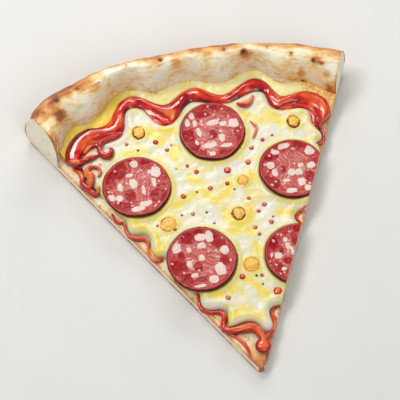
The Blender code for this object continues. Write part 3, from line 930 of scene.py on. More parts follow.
@dataclass
class Dough:
    """The thin base and the puffed rim, with blisters, scorched spots and an open crumb at the cuts."""

    plan: Plan
    sections: int = 300
    field_steps: int = 34
    rim_steps: int = 80
    cut_rows: int = 40
    lumps: float = 0.5
    spots: tuple[tuple[float, float, float, float], ...] = (
        (-22.3, 172.2, 1.9, 1.0), (-18.3, 171.5, 1.3, 0.8), (-3.2, 170.2, 1.5, 0.9), (-14.5, 169.4, 1.0, 0.5),
        (-23.8, 164.4, 2.4, 0.6), (11.2, 167.8, 1.9, 1.0), (7.8, 169.6, 1.2, 0.8), (19.4, 167.4, 0.9, 0.9),
        (23.4, 165.2, 1.4, 0.9), (24.9, 164.4, 1.2, 0.8), (21.9, 160.2, 0.8, 0.9), (15.2, 170.4, 0.8, 0.6),
        (-25.5, 170.7, 1.3, 0.5), (-9.0, 172.7, 0.9, 0.5), (2.5, 171.7, 0.8, 0.5),
        (-19.5, 176.5, 1.8, 0.7), (-6.0, 177.0, 2.2, 0.8), (9.5, 176.0, 1.7, 0.7), (20.5, 176.0, 2.0, 0.75),
    )
    golden: tuple[tuple[float, float, float, float], ...] = (
        (-15.5, 168.0, 5.0, 0.26), (-13.0, 167.6, 4.0, 0.22), (-9.4, 166.4, 5.0, 0.2), (-4.6, 167.0, 5.0, 0.24),
        (-0.7, 167.1, 4.0, 0.16), (4.9, 166.9, 4.5, 0.24), (11.6, 167.0, 5.0, 0.3), (19.7, 163.5, 4.0, 0.3),
        (23.8, 165.2, 4.0, 0.26), (21.6, 161.0, 3.4, 0.4), (26.1, 160.7, 3.6, 0.45), (-22.6, 165.6, 3.4, 0.4),
        (-23.6, 171.6, 3.4, 0.3), (-23.5, 166.9, 3.6, 0.35), (-20.0, 170.6, 3.0, 0.3),
    )

    def section(self, angle: float) -> tuple[np.ndarray, np.ndarray, np.ndarray]:
        """One upright section through the dough.

        Args:
            angle: Its angle from the slice's middle.

        Returns:
            Distances from the pie's centre, from the tip outwards, and the heights of the lower
            and the upper side there.
        """
        plan, at = self.plan, np.array([angle])
        tip, foot, outer = plan.tip_distance(at)[0], plan.rim_foot(at)[0], plan.rim_outer(at)[0]
        crown_at = outer - plan.crown_inset
        turns = np.linspace(math.pi, 0, self.rim_steps)
        side = np.where(turns > math.pi / 2, crown_at - foot, plan.crown_inset)
        distance = np.concatenate([np.linspace(tip, foot, self.field_steps, endpoint=False), crown_at + side * np.cos(turns)])
        upper = plan.rim_top(np.full_like(distance, angle), distance)
        upper[: self.field_steps] = plan.base_top
        heel = np.clip((distance - outer + plan.heel) / plan.heel, 0, 1)
        lower = plan.belly_height * (1 - np.sqrt(1 - heel**2))
        upper[-1] = lower[-1] = plan.belly_height
        return distance, lower, upper

    def place(self, angle: np.ndarray, distance: np.ndarray, height: np.ndarray) -> np.ndarray:
        """Points of the dough. Above the rim's widest part, each cut leans inwards."""
        plan = self.plan
        lean = np.where(angle < 0, plan.lean_left, plan.lean_right)
        inwards = lean * np.maximum(0, height - plan.belly_height)
        turned = angle * (1 - inwards / (distance * plan.half_angle))
        return np.stack([distance * np.sin(turned), distance * np.cos(turned), height], axis=-1)

    def bare(self) -> Shape:
        """The dough before its relief: rounds from cut to cut, and the two cut faces."""
        plan, rounds, caps = self.plan, [], []
        drop = np.linspace(1, 0, self.cut_rows)[1:-1]
        for angle in np.linspace(-plan.half_angle, plan.half_angle, self.sections):
            distance, lower, upper = self.section(angle)
            r = np.concatenate([distance, distance[-2::-1], np.full(len(drop), distance[0])])
            z = np.concatenate([lower, upper[-2::-1], upper[0] * drop])
            rounds.append(self.place(np.full_like(r, angle), r, z))
            if abs(angle) > plan.half_angle - 1e-9:
                share = np.linspace(0, 1, self.cut_rows)[:, None]
                heights = lower + (upper - lower) * share
                spread = np.broadcast_to(distance, heights.shape)
                caps.append(self.place(np.full_like(heights, angle), spread, heights))
        loops = np.array(rounds)
        points, faces = [loops.reshape(-1, 3)], [grid_faces(len(loops), loops.shape[1], True)]
        for cap in caps:
            first = sum(len(p) for p in points)
            points.append(cap.reshape(-1, 3))
            faces.append(grid_faces(cap.shape[0], cap.shape[1], False, first))
        return Shape(np.vstack(points), np.vstack(faces).tolist())

    def away_from(self, points: np.ndarray, turn: float, out: float) -> np.ndarray:
        """How far points lie from a place on the rim's upper side, given by its turn in degrees and its distance out."""
        angle = math.radians(turn)
        height = float(self.plan.rim_top(np.array([angle]), np.array([out]))[0])
        return np.linalg.norm(points - np.array([out * math.sin(angle), out * math.cos(angle), height]), axis=1)

    def build(self, material: bpy.types.Material) -> bpy.types.Object:
        """Builds and dresses the dough.

        Args:
            material: Its finish.

        Returns:
            The finished piece.
        """
        plan = self.plan
        mesh = self.bare().to_mesh("dough_baked", plan)
        points, normals = read_points(mesh, plan)
        x, y, z = points.T
        angle, distance = np.arctan2(x, y), np.hypot(x, y)
        angle = np.clip(angle, -plan.half_angle, plan.half_angle)
        foot, outer = plan.rim_foot(angle), plan.rim_outer(angle)
        on_rim = smooth(distance, foot - 0.6, foot + 3.0)
        across = np.array([math.cos(plan.half_angle), -math.sin(plan.half_angle)])
        facing_right = normals[:, 0] * across[0] + normals[:, 1] * across[1]
        facing_left = -normals[:, 0] * across[0] + normals[:, 1] * across[1]
        to_cut = np.minimum(plan.from_left_cut(x, y), plan.from_right_cut(x, y))
        cut = smooth(np.maximum(facing_left, facing_right), 0.82, 0.93) * smooth(to_cut, 7.0, 5.0)
        under = smooth(-normals[:, 2], 0.75, 0.95)

        scorch, blister, glow = np.zeros(len(points)), np.zeros(len(points)), np.zeros(len(points))
        for turn, out, radius, dark in self.spots:
            away = self.away_from(points, turn, out)
            scorch = np.maximum(scorch, dark * smooth(away, radius * 1.5, radius * 0.25))
            blister += 0.45 * smooth(away, radius * 2.4, 0.0) - 0.35 * smooth(away, radius * 1.0, 0.0)
            glow += 0.26 * dark * smooth(away, radius * 3.4, radius * 1.0)
        for turn, out, radius, deep in self.golden:
            glow += deep * smooth(self.away_from(points, turn, out), radius, radius * 0.3)

        relief = on_rim * (1 - cut) * (
            self.lumps * Grain(1, 13.0).at(points) + 0.22 * Grain(2, 4.5).at(points)
            + 0.07 * Grain(3, 1.6).at(points) + np.minimum(blister, 0.7) - 0.55
        )
        relief += (1 - on_rim) * (1 - cut) * 0.12 * Grain(4, 3.5).at(points)
        thick = np.minimum(plan.rim_top(angle, distance) - z, z)
        inner = smooth(np.where(distance > foot, np.minimum(thick, outer - distance), thick), 0.5, 1.6)
        pores = smooth(Grain(5, 2.6).at(points), 0.22, 0.6) + 0.8 * smooth(Grain(6, 5.0).at(points), 0.2, 0.7)
        relief -= cut * inner * (0.12 + 0.34 * pores)
        relief *= 1 - under
        write_points(mesh, plan, points + normals * relief[:, None])

        crosswise = (distance - foot) / (outer - foot)
        patches = Grain(7, 17.0).at(points)
        left_end = smooth(np.degrees(angle), -17.0, -25.0)
        right_end = smooth(np.degrees(angle), 14.0, 24.0)
        outside = smooth(crosswise, 0.34, 0.8)
        bake = 0.06 + 0.6 * outside + 0.1 * patches + 0.34 * left_end * (1 - 0.6 * outside) * (0.8 + 0.4 * patches)
        bake += 0.3 * smooth(np.degrees(angle), -21.0, -26.0) * smooth(crosswise, 0.3, 0.0) + 0.1 * smooth(patches, 0.0, 0.6)
        # The first term browns the rim's foot at the right end: a baked fold, and partly painted shade in the crease
        # there; the second browns the right cut's edge.
        bake += 0.6 * right_end * bump_of(crosswise, 0.03, 0.08) + 0.3 * smooth(np.degrees(angle), 26.4, 28.0)
        bake += 0.35 * smooth(z, 9.0, 3.0) * smooth(crosswise, 0.7, 0.95) + 0.08 * smooth(crosswise, 0.66, 0.88)
        flat = 0.2 + 0.45 * smooth(to_cut, 1.8, 0.0) + 0.12 * Grain(8, 6.0).at(points) + 0.5 * smooth(distance, 20.0, 3.0)
        bake = bake * on_rim + flat * (1 - on_rim)
        bake += glow
        bake = np.where(under > 0.5, 0.5 + 0.3 * Grain(9, 9.0).at(points), bake)
        crust_line = 0.7 * (1 - smooth(np.where(distance > foot, np.minimum(thick, outer - distance), z), 0.5, 2.1))
        bake = bake * (1 - cut) + cut * (crust_line + 0.05)
        set_trait(mesh, "bake", bake)
        set_trait(mesh, "scorch", scorch * (1 - cut))
        set_trait(mesh, "crumb", cut)
        set_trait(mesh, "along", angle * plan.pie_radius)
        crown = plan.rim_crown(angle)
        set_trait(mesh, "out", distance + on_rim * np.where(crosswise < 0.6, z, 2 * crown - z))
        piece = show(mesh, material)
        settle(piece, "dough", "dough")
        return piece


@dataclass
class Cheese:
    """The melted cheese: a thick rounded lip along its edge, swellings between the toppings, yellow streaks."""

    plan: Plan
    sides: int = 800
    inner_rings: int = 94
    bottom: float = 6.6
    skirt: float = 5.4
    lip: float = 2.6
    lip_rise: float = 0.45
    marks: tuple[tuple[float, float, float], ...] = ((-51.0, 125.7, 2.2), (-14.7, 114.3, 1.8), (21.0, 110.4, 1.9))
    streaks: tuple[tuple[float, tuple[tuple[float, float], ...]], ...] = (
        (2.6, ((-20.7, 93.3), (-17.0, 95.6), (-12.6, 97.4))),
        (2.0, ((-9.5, 98.0), (-5.8, 99.4), (-2.5, 95.6), (0.6, 92.0))),
        (2.2, ((1.6, 92.5), (6.2, 95.6), (9.8, 101.0))),
        (3.4, ((-14.4, 121.6), (-12.0, 125.4))),
        (3.0, ((-17.0, 137.0), (-12.0, 136.0))),
        (2.2, ((25.0, 137.2), (28.4, 135.6))),
        (1.8, ((31.0, 133.0), (33.4, 131.4))),
        (2.4, ((36.8, 133.4), (40.8, 131.6), (43.0, 127.8))),
        (2.4, ((20.0, 103.0), (22.4, 99.8))),
        (1.8, ((28.7, 78.8), (34.5, 76.9))),
        (2.4, ((3.3, 74.5), (9.8, 73.9), (13.0, 71.2))),
        (2.0, ((13.0, 64.2), (13.6, 58.6))),
        (1.9, ((4.8, 46.8), (8.4, 42.2), (11.8, 36.4))),
        (1.8, ((2.2, 47.6), (5.8, 47.0))),
        (2.6, ((-14.2, 44.2), (-10.0, 42.6))),
        (1.9, ((-9.0, 30.0), (-4.0, 32.0), (1.0, 31.0), (5.0, 27.0))),
        (1.7, ((-42.4, 92.6), (-39.4, 87.6), (-34.4, 84.6), (-32.6, 79.0), (-33.0, 73.8))),
        (2.4, ((-34.7, 72.6), (-31.0, 73.2))),
        (2.2, ((-38.0, 128.4), (-33.0, 127.6), (-29.0, 128.2))),
        (2.8, ((-23.6, 139.6), (-20.4, 135.4), (-18.6, 131.4))),
        (1.7, ((-5.4, 45.6), (-4.2, 42.6))),
        (2.4, ((3.0, 86.2), (4.2, 80.0), (9.0, 77.6), (14.0, 79.4), (14.6, 84.6))),
        (1.8, ((-22.0, 119.6), (-20.0, 114.0))),
        (1.9, ((28.2, 109.0), (25.6, 101.0), (26.8, 93.6))),
        (2.0, ((-10.0, 108.0), (-6.0, 104.6))),
        (1.8, ((22.4, 66.8), (18.8, 62.8))),
        (1.6, ((-2.0, 60.6), (1.0, 66.0), (-1.0, 71.0))),
    )

    def outline(self) -> tuple[np.ndarray, np.ndarray, np.ndarray, np.ndarray]:
        """The edge: directions, reaches, plan points, and whether the right cut ends each."""
        turns = self.plan.directions(self.sides)
        edge, cut = self.plan.cheese_reach(turns)
        return turns, edge, self.plan.on_plan(turns, edge), cut

    def height(self, x: np.ndarray, y: np.ndarray) -> np.ndarray:
        """Height of the cheese's upper side, away from its edge.

        Args:
            x: First values of plan points.
            y: Second values of plan points.

        Returns:
            Heights in millimetres.
        """
        flat = np.column_stack([x, y, np.zeros_like(x)])
        pulled = np.column_stack([0.5 * x + 0.3 * y, y - 0.3 * x, np.zeros_like(x)])
        rise = 0.34 * Grain(21, 9.0).at(flat) + 0.22 * Grain(22, 3.6).at(pulled) + 0.06 * Grain(23, 1.5).at(flat)
        collar = np.zeros_like(x)
        for topping in TOPPINGS:
            outside = np.hypot(x - topping.centre[0], y - topping.centre[1]) - topping.radius
            rise = rise * smooth(outside, -1.0, 3.0) - 0.25 * smooth(outside, 0.2, -0.8)
            collar = np.maximum(collar, 0.7 * bump_of(outside, 0.7, 1.3))
        for bubble in BUBBLES:
            outside = np.hypot((x - bubble.centre[0]) / bubble.wide, (y - bubble.centre[1]) / bubble.deep) - 1
            collar = np.maximum(collar, 0.4 * bump_of(outside, 0.16, 0.35))
        return self.plan.cheese_top + rise + collar

    def inside(self, x: np.ndarray, y: np.ndarray) -> np.ndarray:
        """How far plan points lie inside the cheese's edge, without the right cut; negative outside it."""
        plan = self.plan
        _, _, edge, cut = self.outline()
        after, free = np.roll(edge, -1, axis=0), ~(cut & np.roll(cut, -1))
        distance = distance_to_runs(x, y, edge[free], after[free])
        turns, reach = plan.polar_of(x, y)
        return np.where(reach <= plan.cheese_reach(turns)[0] + 1e-6, distance, -distance)

    def surface(self, x: np.ndarray, y: np.ndarray) -> np.ndarray:
        """Height of the cheese's upper side, with the rounding of its edges."""
        plan = self.plan
        inside = self.inside(x, y) + 0.3 * Grain(24, 5.0).at(np.column_stack([x, y, np.zeros_like(x)]))
        lip = 0.3 + 0.7 * np.sqrt(np.clip(1 - (1 - np.clip(inside / self.lip, 0, 1)) ** 2, 0, 1))
        cut = 0.88 + 0.12 * np.sqrt(np.clip(plan.from_right_cut(x, y) / 0.6, 0, 1))
        full = self.height(x, y) + self.lip_rise * bump_of(inside, self.lip + 0.2, 1.5)
        return self.bottom + (full - self.bottom) * np.minimum(lip, cut)

    def build(self, material: bpy.types.Material) -> bpy.types.Object:
        """Builds and dresses the cheese.

        Args:
            material: Its finish.

        Returns:
            The finished piece.
        """
        plan = self.plan
        turns, edge, outline, cut = self.outline()
        near = np.array([0.0, 0.1, 0.25, 0.5, 0.8, 1.15, 1.55, 2.0, 2.5, 3.1, 3.8, 4.6, 5.6])
        shares = np.linspace(1, 0, self.inner_rings + 1)[1:-1]
        rings = []
        for reach in [edge - d for d in near] + [(edge - near[-1]) * s for s in shares]:
            places = plan.on_plan(turns, reach)
            rings.append(np.column_stack([places, self.surface(*places.T)]))
        foot = np.where(cut, self.bottom, self.skirt)
        level = rings[0][:, 2]
        rings.insert(0, np.column_stack([outline, foot + 0.5 * (level - foot)]))
        rings.insert(0, np.column_stack([plan.on_plan(turns, edge + np.where(cut, 0, 0.25)), foot]))
        rings.insert(0, np.column_stack([plan.on_plan(turns, edge * 0.6), np.full(len(turns), self.bottom)]))
        middle = np.array([[*plan.centre, float(self.surface(*np.array(plan.centre)[:, None])[0])]])
        below = np.array([[*plan.centre, self.bottom]])
        count, sides = len(rings), len(turns)
        faces = grid_faces(count, sides, True).tolist()
        last, top, bottom = (count - 1) * sides, count * sides, count * sides + 1
        faces += [[last + i, last + (i + 1) % sides, top] for i in range(sides)]
        faces += [[(i + 1) % sides, i, bottom] for i in range(sides)]
        mesh = Shape(np.vstack([*rings, middle, below]), faces).to_mesh("cheese_melted", plan)
        self.colour(mesh)
        piece = show(mesh, material)
        settle(piece, "cheese", "cheese")
        return piece

    def colour(self, mesh: bpy.types.Mesh) -> None:
        """Writes where the cheese is yellow and where it is toasted, with painted shadow on the lower right of each
        pepperoni and painted shade round each bubble's foot.

        Args:
            mesh: The cheese.
        """
        plan = self.plan
        points, _ = read_points(mesh, plan)
        x, y, _ = points.T
        yellow = 0.06 + 0.34 * smooth(Grain(25, 9.0).at(points), -0.1, 0.7) + 0.5 * smooth(Grain(27, 5.0).at(points), 0.3, 0.8)
        ragged = 0.9 * Grain(26, 4.0).at(points) + 0.3 * Grain(28, 2.2).at(points)
        for width, corners in self.streaks:
            path = spline(list(corners), 2.0)
            away = distance_to_runs(x, y, path[:-1], path[1:]) + ragged
            yellow = np.maximum(yellow, np.maximum(smooth(away, width * 1.25, width * 0.3), 0.36 * smooth(away, 5.5, 2.5)))
        toast = np.zeros_like(x)
        for topping in TOPPINGS:
            dx, dy = x - topping.centre[0], y - topping.centre[1]
            outside = np.hypot(dx, dy) - topping.radius + 0.4 * ragged
            # Painted shadow: the oil halo and the toasted ring round each pepperoni are made strongest on its
            # lower-right side.
            side = 0.55 + 0.45 * np.cos(np.arctan2(dy, dx) + math.radians(50))
            yellow = np.maximum(yellow, (0.3 + 0.4 * side) * smooth(outside, 4.4, 1.0))
            toast = np.maximum(toast, 0.5 * side * smooth(outside, 1.8, 0.2))
        for bubble in BUBBLES:
            outside = np.hypot(x - bubble.centre[0], y - bubble.centre[1]) - bubble.wide + 0.5 * ragged
            yellow = np.maximum(yellow, 0.85 * smooth(outside, 3.6, 0.0))
            # Painted shade: a ring of toast colour round each bubble's foot, where the dome meets the cheese.
            toast = np.maximum(toast, 0.8 * smooth(outside, 1.0, -0.1))
        for mark_x, mark_y, size in self.marks:
            toast = np.maximum(toast, 0.8 * smooth(np.hypot(x - mark_x, y - mark_y) + 0.5 * ragged, size, 0.3))
        set_trait(mesh, "yellow", yellow)
        set_trait(mesh, "toast", toast)


@dataclass
class CheeseBorder:
    """The golden cheese between the ribbon of sauce and the foot of the rim."""

    plan: Plan
    sections: int = 520
    steps: int = 22
    bottom: float = 5.4
    near_sauce: float = 7.8
    near_rim: float = 9.3
    last: float = 26.6

    def build(self, material: bpy.types.Material) -> bpy.types.Object:
        """Builds and dresses the border.

        Args:
            material: Its finish.

        Returns:
            The finished piece.
        """
        plan = self.plan
        angles = np.linspace(-math.radians(self.last), plan.half_angle, self.sections)
        low, high = plan.along_rim(angles, plan.border_crests), plan.rim_foot(angles) + 0.9
        share = np.linspace(0, 1, self.steps)
        spread = low[:, None] + (high - low)[:, None] * share
        heights = self.near_sauce + (self.near_rim - self.near_sauce) * share ** 0.8
        roundness = np.clip(np.minimum(share, 1 - share) / 0.16, 0, 1)
        heights = self.bottom + (heights - self.bottom) * (0.45 + 0.55 * np.sqrt(1 - (1 - roundness) ** 2))
        heights = np.broadcast_to(heights, spread.shape).copy()
        flat = np.stack([spread * np.sin(angles)[:, None], spread * np.cos(angles)[:, None], np.zeros_like(spread)], -1)
        lump = 0.38 * Grain(31, 5.0).at(flat.reshape(-1, 3)) + 0.15 * Grain(32, 2.0).at(flat.reshape(-1, 3))
        heights += lump.reshape(heights.shape) * roundness
        around = np.concatenate([spread, spread[:, ::-1]], axis=1)
        levels = np.concatenate([heights, np.full_like(spread, self.bottom)], axis=1)
        loops = np.stack([around * np.sin(angles)[:, None], around * np.cos(angles)[:, None], levels], -1)
        faces = grid_faces(len(angles), loops.shape[1], True).tolist()
        for first in (0, (len(angles) - 1) * loops.shape[1]):
            faces += self.end(first)
        mesh = Shape(loops.reshape(-1, 3), faces).to_mesh("cheese_border_melted", plan)
        points, _ = read_points(mesh, plan)
        across = np.degrees(np.arctan2(points[:, 0], points[:, 1]))
        set_trait(mesh, "yellow", 0.2 + 0.85 * smooth(across, -6.0, -15.0) + 0.5 * Grain(33, 6.0).at(points))
        away = plan.rim_foot(np.radians(across)) + 0.9 - np.hypot(points[:, 0], points[:, 1])
        toast = 0.12 + 0.4 * smooth(Grain(34, 5.0).at(points), 0.1, 0.8) + 0.65 * smooth(across, 19.0, 26.0)
        # Painted shade: the last term lays the toast colour along the rim's foot, in the crease against the crust.
        set_trait(mesh, "toast", toast + 0.4 * smooth(away, 2.0, 0.6))
        piece = show(mesh, material)
        settle(piece, "golden_cheese", "cheese_border")
        return piece

    def end(self, first: int) -> list[list[int]]:
        """Quads that close one end, between the upper points and the lower ones.

        Args:
            first: Number of the end's first point.

        Returns:
            The quads.
        """
        last = 2 * self.steps - 1
        return [[first + i, first + i + 1, first + last - i - 1, first + last - i] for i in range(self.steps - 1)]


@dataclass
class Sauce:
    """The ribbon of sauce along the rim, and the sheet that runs from it under the cheese."""

    plan: Plan
    sides: int = 1500
    bottom: float = 5.35
    sheet: float = 6.7
    rope: float = 9.5
    most: float = 4.2
    shelf: float = 1.5
    tuck: float = 4.0
    steps: int = 30
    ridges: float = 0.16
    glows: tuple[tuple[float, float, float], ...] = ((60.5, 133.8, 3.0), (-27.6, 155.8, 3.4), (-10.7, 146.8, 3.6), (-55.3, 136.9, 3.6))

    def profile(self, share: np.ndarray, width: np.ndarray) -> np.ndarray:
        """Height of the ribbon over the sheet.

        Args:
            share: How far across the ribbon, from its outer edge.
            width: The ribbon's width.

        Returns:
            Heights: a rope along the outer edge, and a lower shelf where the ribbon is wider than a rope.
        """
        rope_width = np.minimum(width, self.rope)
        across = np.clip(share * width / rope_width, 0, 1)
        rope = np.clip(0.4 * rope_width, 0, self.most) * np.sqrt(np.clip(1 - np.abs(2 * across - 1) ** 2.3, 0, 1))
        shelf = self.shelf * np.sqrt(np.clip(1 - np.abs(2 * share - 1) ** 6, 0, 1))
        return np.maximum(rope, shelf * np.clip(width / 3, 0, 1))

    def build(self, material: bpy.types.Material) -> bpy.types.Object:
        """Builds and dresses the sauce.

        Args:
            material: Its finish.

        Returns:
            The finished piece.
        """
        plan = self.plan
        turns = plan.directions(self.sides)
        edge, cut = plan.sauce_reach(turns)
        cheese = np.minimum(plan.cheese_reach(turns)[0], edge - 0.01)
        width = (edge - cheese)[:, None]
        outline = plan.on_plan(turns, edge)
        along = np.concatenate([[0], np.cumsum(np.hypot(*np.diff(outline, axis=0).T))])[:, None]

        share = (1 - np.cos(np.linspace(0, math.pi, self.steps))) / 2
        over = edge[:, None] - (width + 0.7) * share
        lift = self.profile(np.broadcast_to(share, over.shape), np.maximum(width, 0.01))
        base = self.bottom + (self.sheet - self.bottom) * np.clip(share / 0.12, 0, 1) ** 0.6
        base = np.where(cut[:, None], self.sheet, base)
        across = (edge[:, None] - over) / 3.4
        flow = np.stack([np.broadcast_to(along / 16, over.shape), across, np.zeros_like(over)], -1).reshape(-1, 3)
        ripple = Grain(41, 1.0).at(flow) + 0.35 * Grain(42, 0.5, 1).at(flow)
        heights = base + lift + self.ridges * ripple.reshape(over.shape) * np.clip(lift / 1.5, 0, 1)
        inner = np.minimum(cheese - self.tuck, edge - 2.0)[:, None]
        reach = np.hstack([edge[:, None], over, inner, inner])
        levels = np.hstack([np.full((len(turns), 1), self.bottom), heights, np.full((len(turns), 1), self.sheet),
                            np.full((len(turns), 1), self.bottom)])
        x = plan.centre[0] + reach * np.cos(turns)[:, None]
        y = plan.centre[1] + reach * np.sin(turns)[:, None]
        loops = np.stack([x, y, levels], -1)
        traits = {"thin": np.ones_like(levels), "along": np.broadcast_to(along, levels.shape),
                  "across": np.zeros_like(levels)}
        traits["thin"][:, 1:-2] = 0.7 * smooth(heights - self.bottom, 3.6, 1.6)
        traits["across"][:, 1:-2] = across * 3.4
        # Painted shade: the ribbon darker along both its edges, where it turns down, and a painted shadow over its
        # outer side at the left end.
        rim = np.minimum(edge[:, None] - over, over - cheese[:, None])
        traits["edge"] = np.ones_like(levels)
        left_end_shadow = smooth(edge[:, None] - over, 7.5, 2.5) * smooth(outline[:, :1], -46.0, -58.0)
        traits["edge"][:, 1:-2] = np.maximum(smooth(rim, 1.9, 0.2), 0.95 * left_end_shadow)
        for glow_x, glow_y, glow in self.glows:
            near = smooth(np.hypot(x[:, 1:-2] - glow_x, y[:, 1:-2] - glow_y), glow, 0.3 * glow)
            traits["thin"][:, 1:-2] = np.maximum(traits["thin"][:, 1:-2], 0.8 * near)
        columns = loops.shape[1]
        faces = grid_faces(len(turns), columns, True)
        wrap = np.arange(columns)
        last = (len(turns) - 1) * columns
        seam = np.stack([last + wrap, last + (wrap + 1) % columns, (wrap + 1) % columns, wrap], axis=1)
        shape = Shape(loops.reshape(-1, 3), np.vstack([faces, seam]).tolist(), {k: v.ravel() for k, v in traits.items()})
        piece = show(shape.to_mesh("sauce_ribbon", plan), material)
        settle(piece, "sauce", "sauce")
        return piece


class Growth(Nodes):
    """A geometry tree with named inputs, which ends in Realize Instances and Set Material."""

    KINDS = {"NodeSocketFloat": float, "NodeSocketInt": int}

    def __init__(self, name: str, inputs: dict[str, str], material: bpy.types.Material) -> None:
        """Starts the tree.

        Args:
            name: The tree's name.
            inputs: Names of the inputs and the types of their sockets.
            material: What the tree's last node sets.
        """
        super().__init__(bpy.data.node_groups.new(name, "GeometryNodeTree"))
        self.material = material
        self.tree.interface.new_socket("Geometry", in_out="INPUT", socket_type="NodeSocketGeometry")
        for key, kind in inputs.items():
            self.tree.interface.new_socket(key, in_out="INPUT", socket_type=kind)
        self.tree.interface.new_socket("Geometry", in_out="OUTPUT", socket_type="NodeSocketGeometry")
        self.given = self.add("NodeGroupInput").outputs

    def vector(self, x: Any, y: Any, z: Any) -> bpy.types.NodeSocket:
        """A vector from its three parts."""
        return self.add("ShaderNodeCombineXYZ", {0: x, 1: y, 2: z}).outputs[0]

    def parts(self, vector: Any) -> list[bpy.types.NodeSocket]:
        """The three parts of a vector."""
        return list(self.add("ShaderNodeSeparateXYZ", {0: vector}).outputs)

    def curve(self, value: Any, points: list[tuple[float, float]]) -> bpy.types.NodeSocket:
        """A number read off a curve through points.

        Args:
            value: Where on the curve, from 0 to 1.
            points: The curve's points, both of whose values run from 0 to 1.

        Returns:
            The curve's height there.
        """
        node = self.add("ShaderNodeFloatCurve", {"Value": value})
        line = node.mapping.curves[0].points
        for place in points[1:-1]:
            line.new(*place)
        for point, place in zip(line, points):
            point.location = place
        line[0].location, line[-1].location = points[0], points[-1]
        node.mapping.update()
        return node.outputs[0]

    def finish(self, geometry: Any) -> None:
        """Ends the tree.

        Args:
            geometry: What it has made.
        """
        real = self.add("GeometryNodeRealizeInstances", {0: geometry}).outputs[0]
        dressed = self.add("GeometryNodeSetMaterial", {"Geometry": real, "Material": self.material}).outputs[0]
        self.add("NodeGroupOutput", {0: dressed})

    def grow(self, name: str, values: dict[str, Any], start: bpy.types.Mesh | None = None) -> bpy.types.Mesh:
        """Runs the tree.

        Args:
            name: Name for the result.
            values: Values for the inputs, by name.
            start: The mesh that the tree starts from, if it needs one.

        Returns:
            The result, as a plain mesh.
        """
        source = bpy.data.objects.new(name + "_start", start or bpy.data.meshes.new(name + "_start"))
        bpy.context.scene.collection.objects.link(source)
        modifier = source.modifiers.new("growth", "NODES")
        modifier.node_group = self.tree
        for socket in self.tree.interface.items_tree:
            if socket.in_out == "INPUT" and socket.name in values:
                modifier[socket.identifier] = values[socket.name]
        done = source.evaluated_get(bpy.context.evaluated_depsgraph_get())
        mesh = bpy.data.meshes.new_from_object(done)
        mesh.name = name
        bpy.data.objects.remove(source)
        return mesh


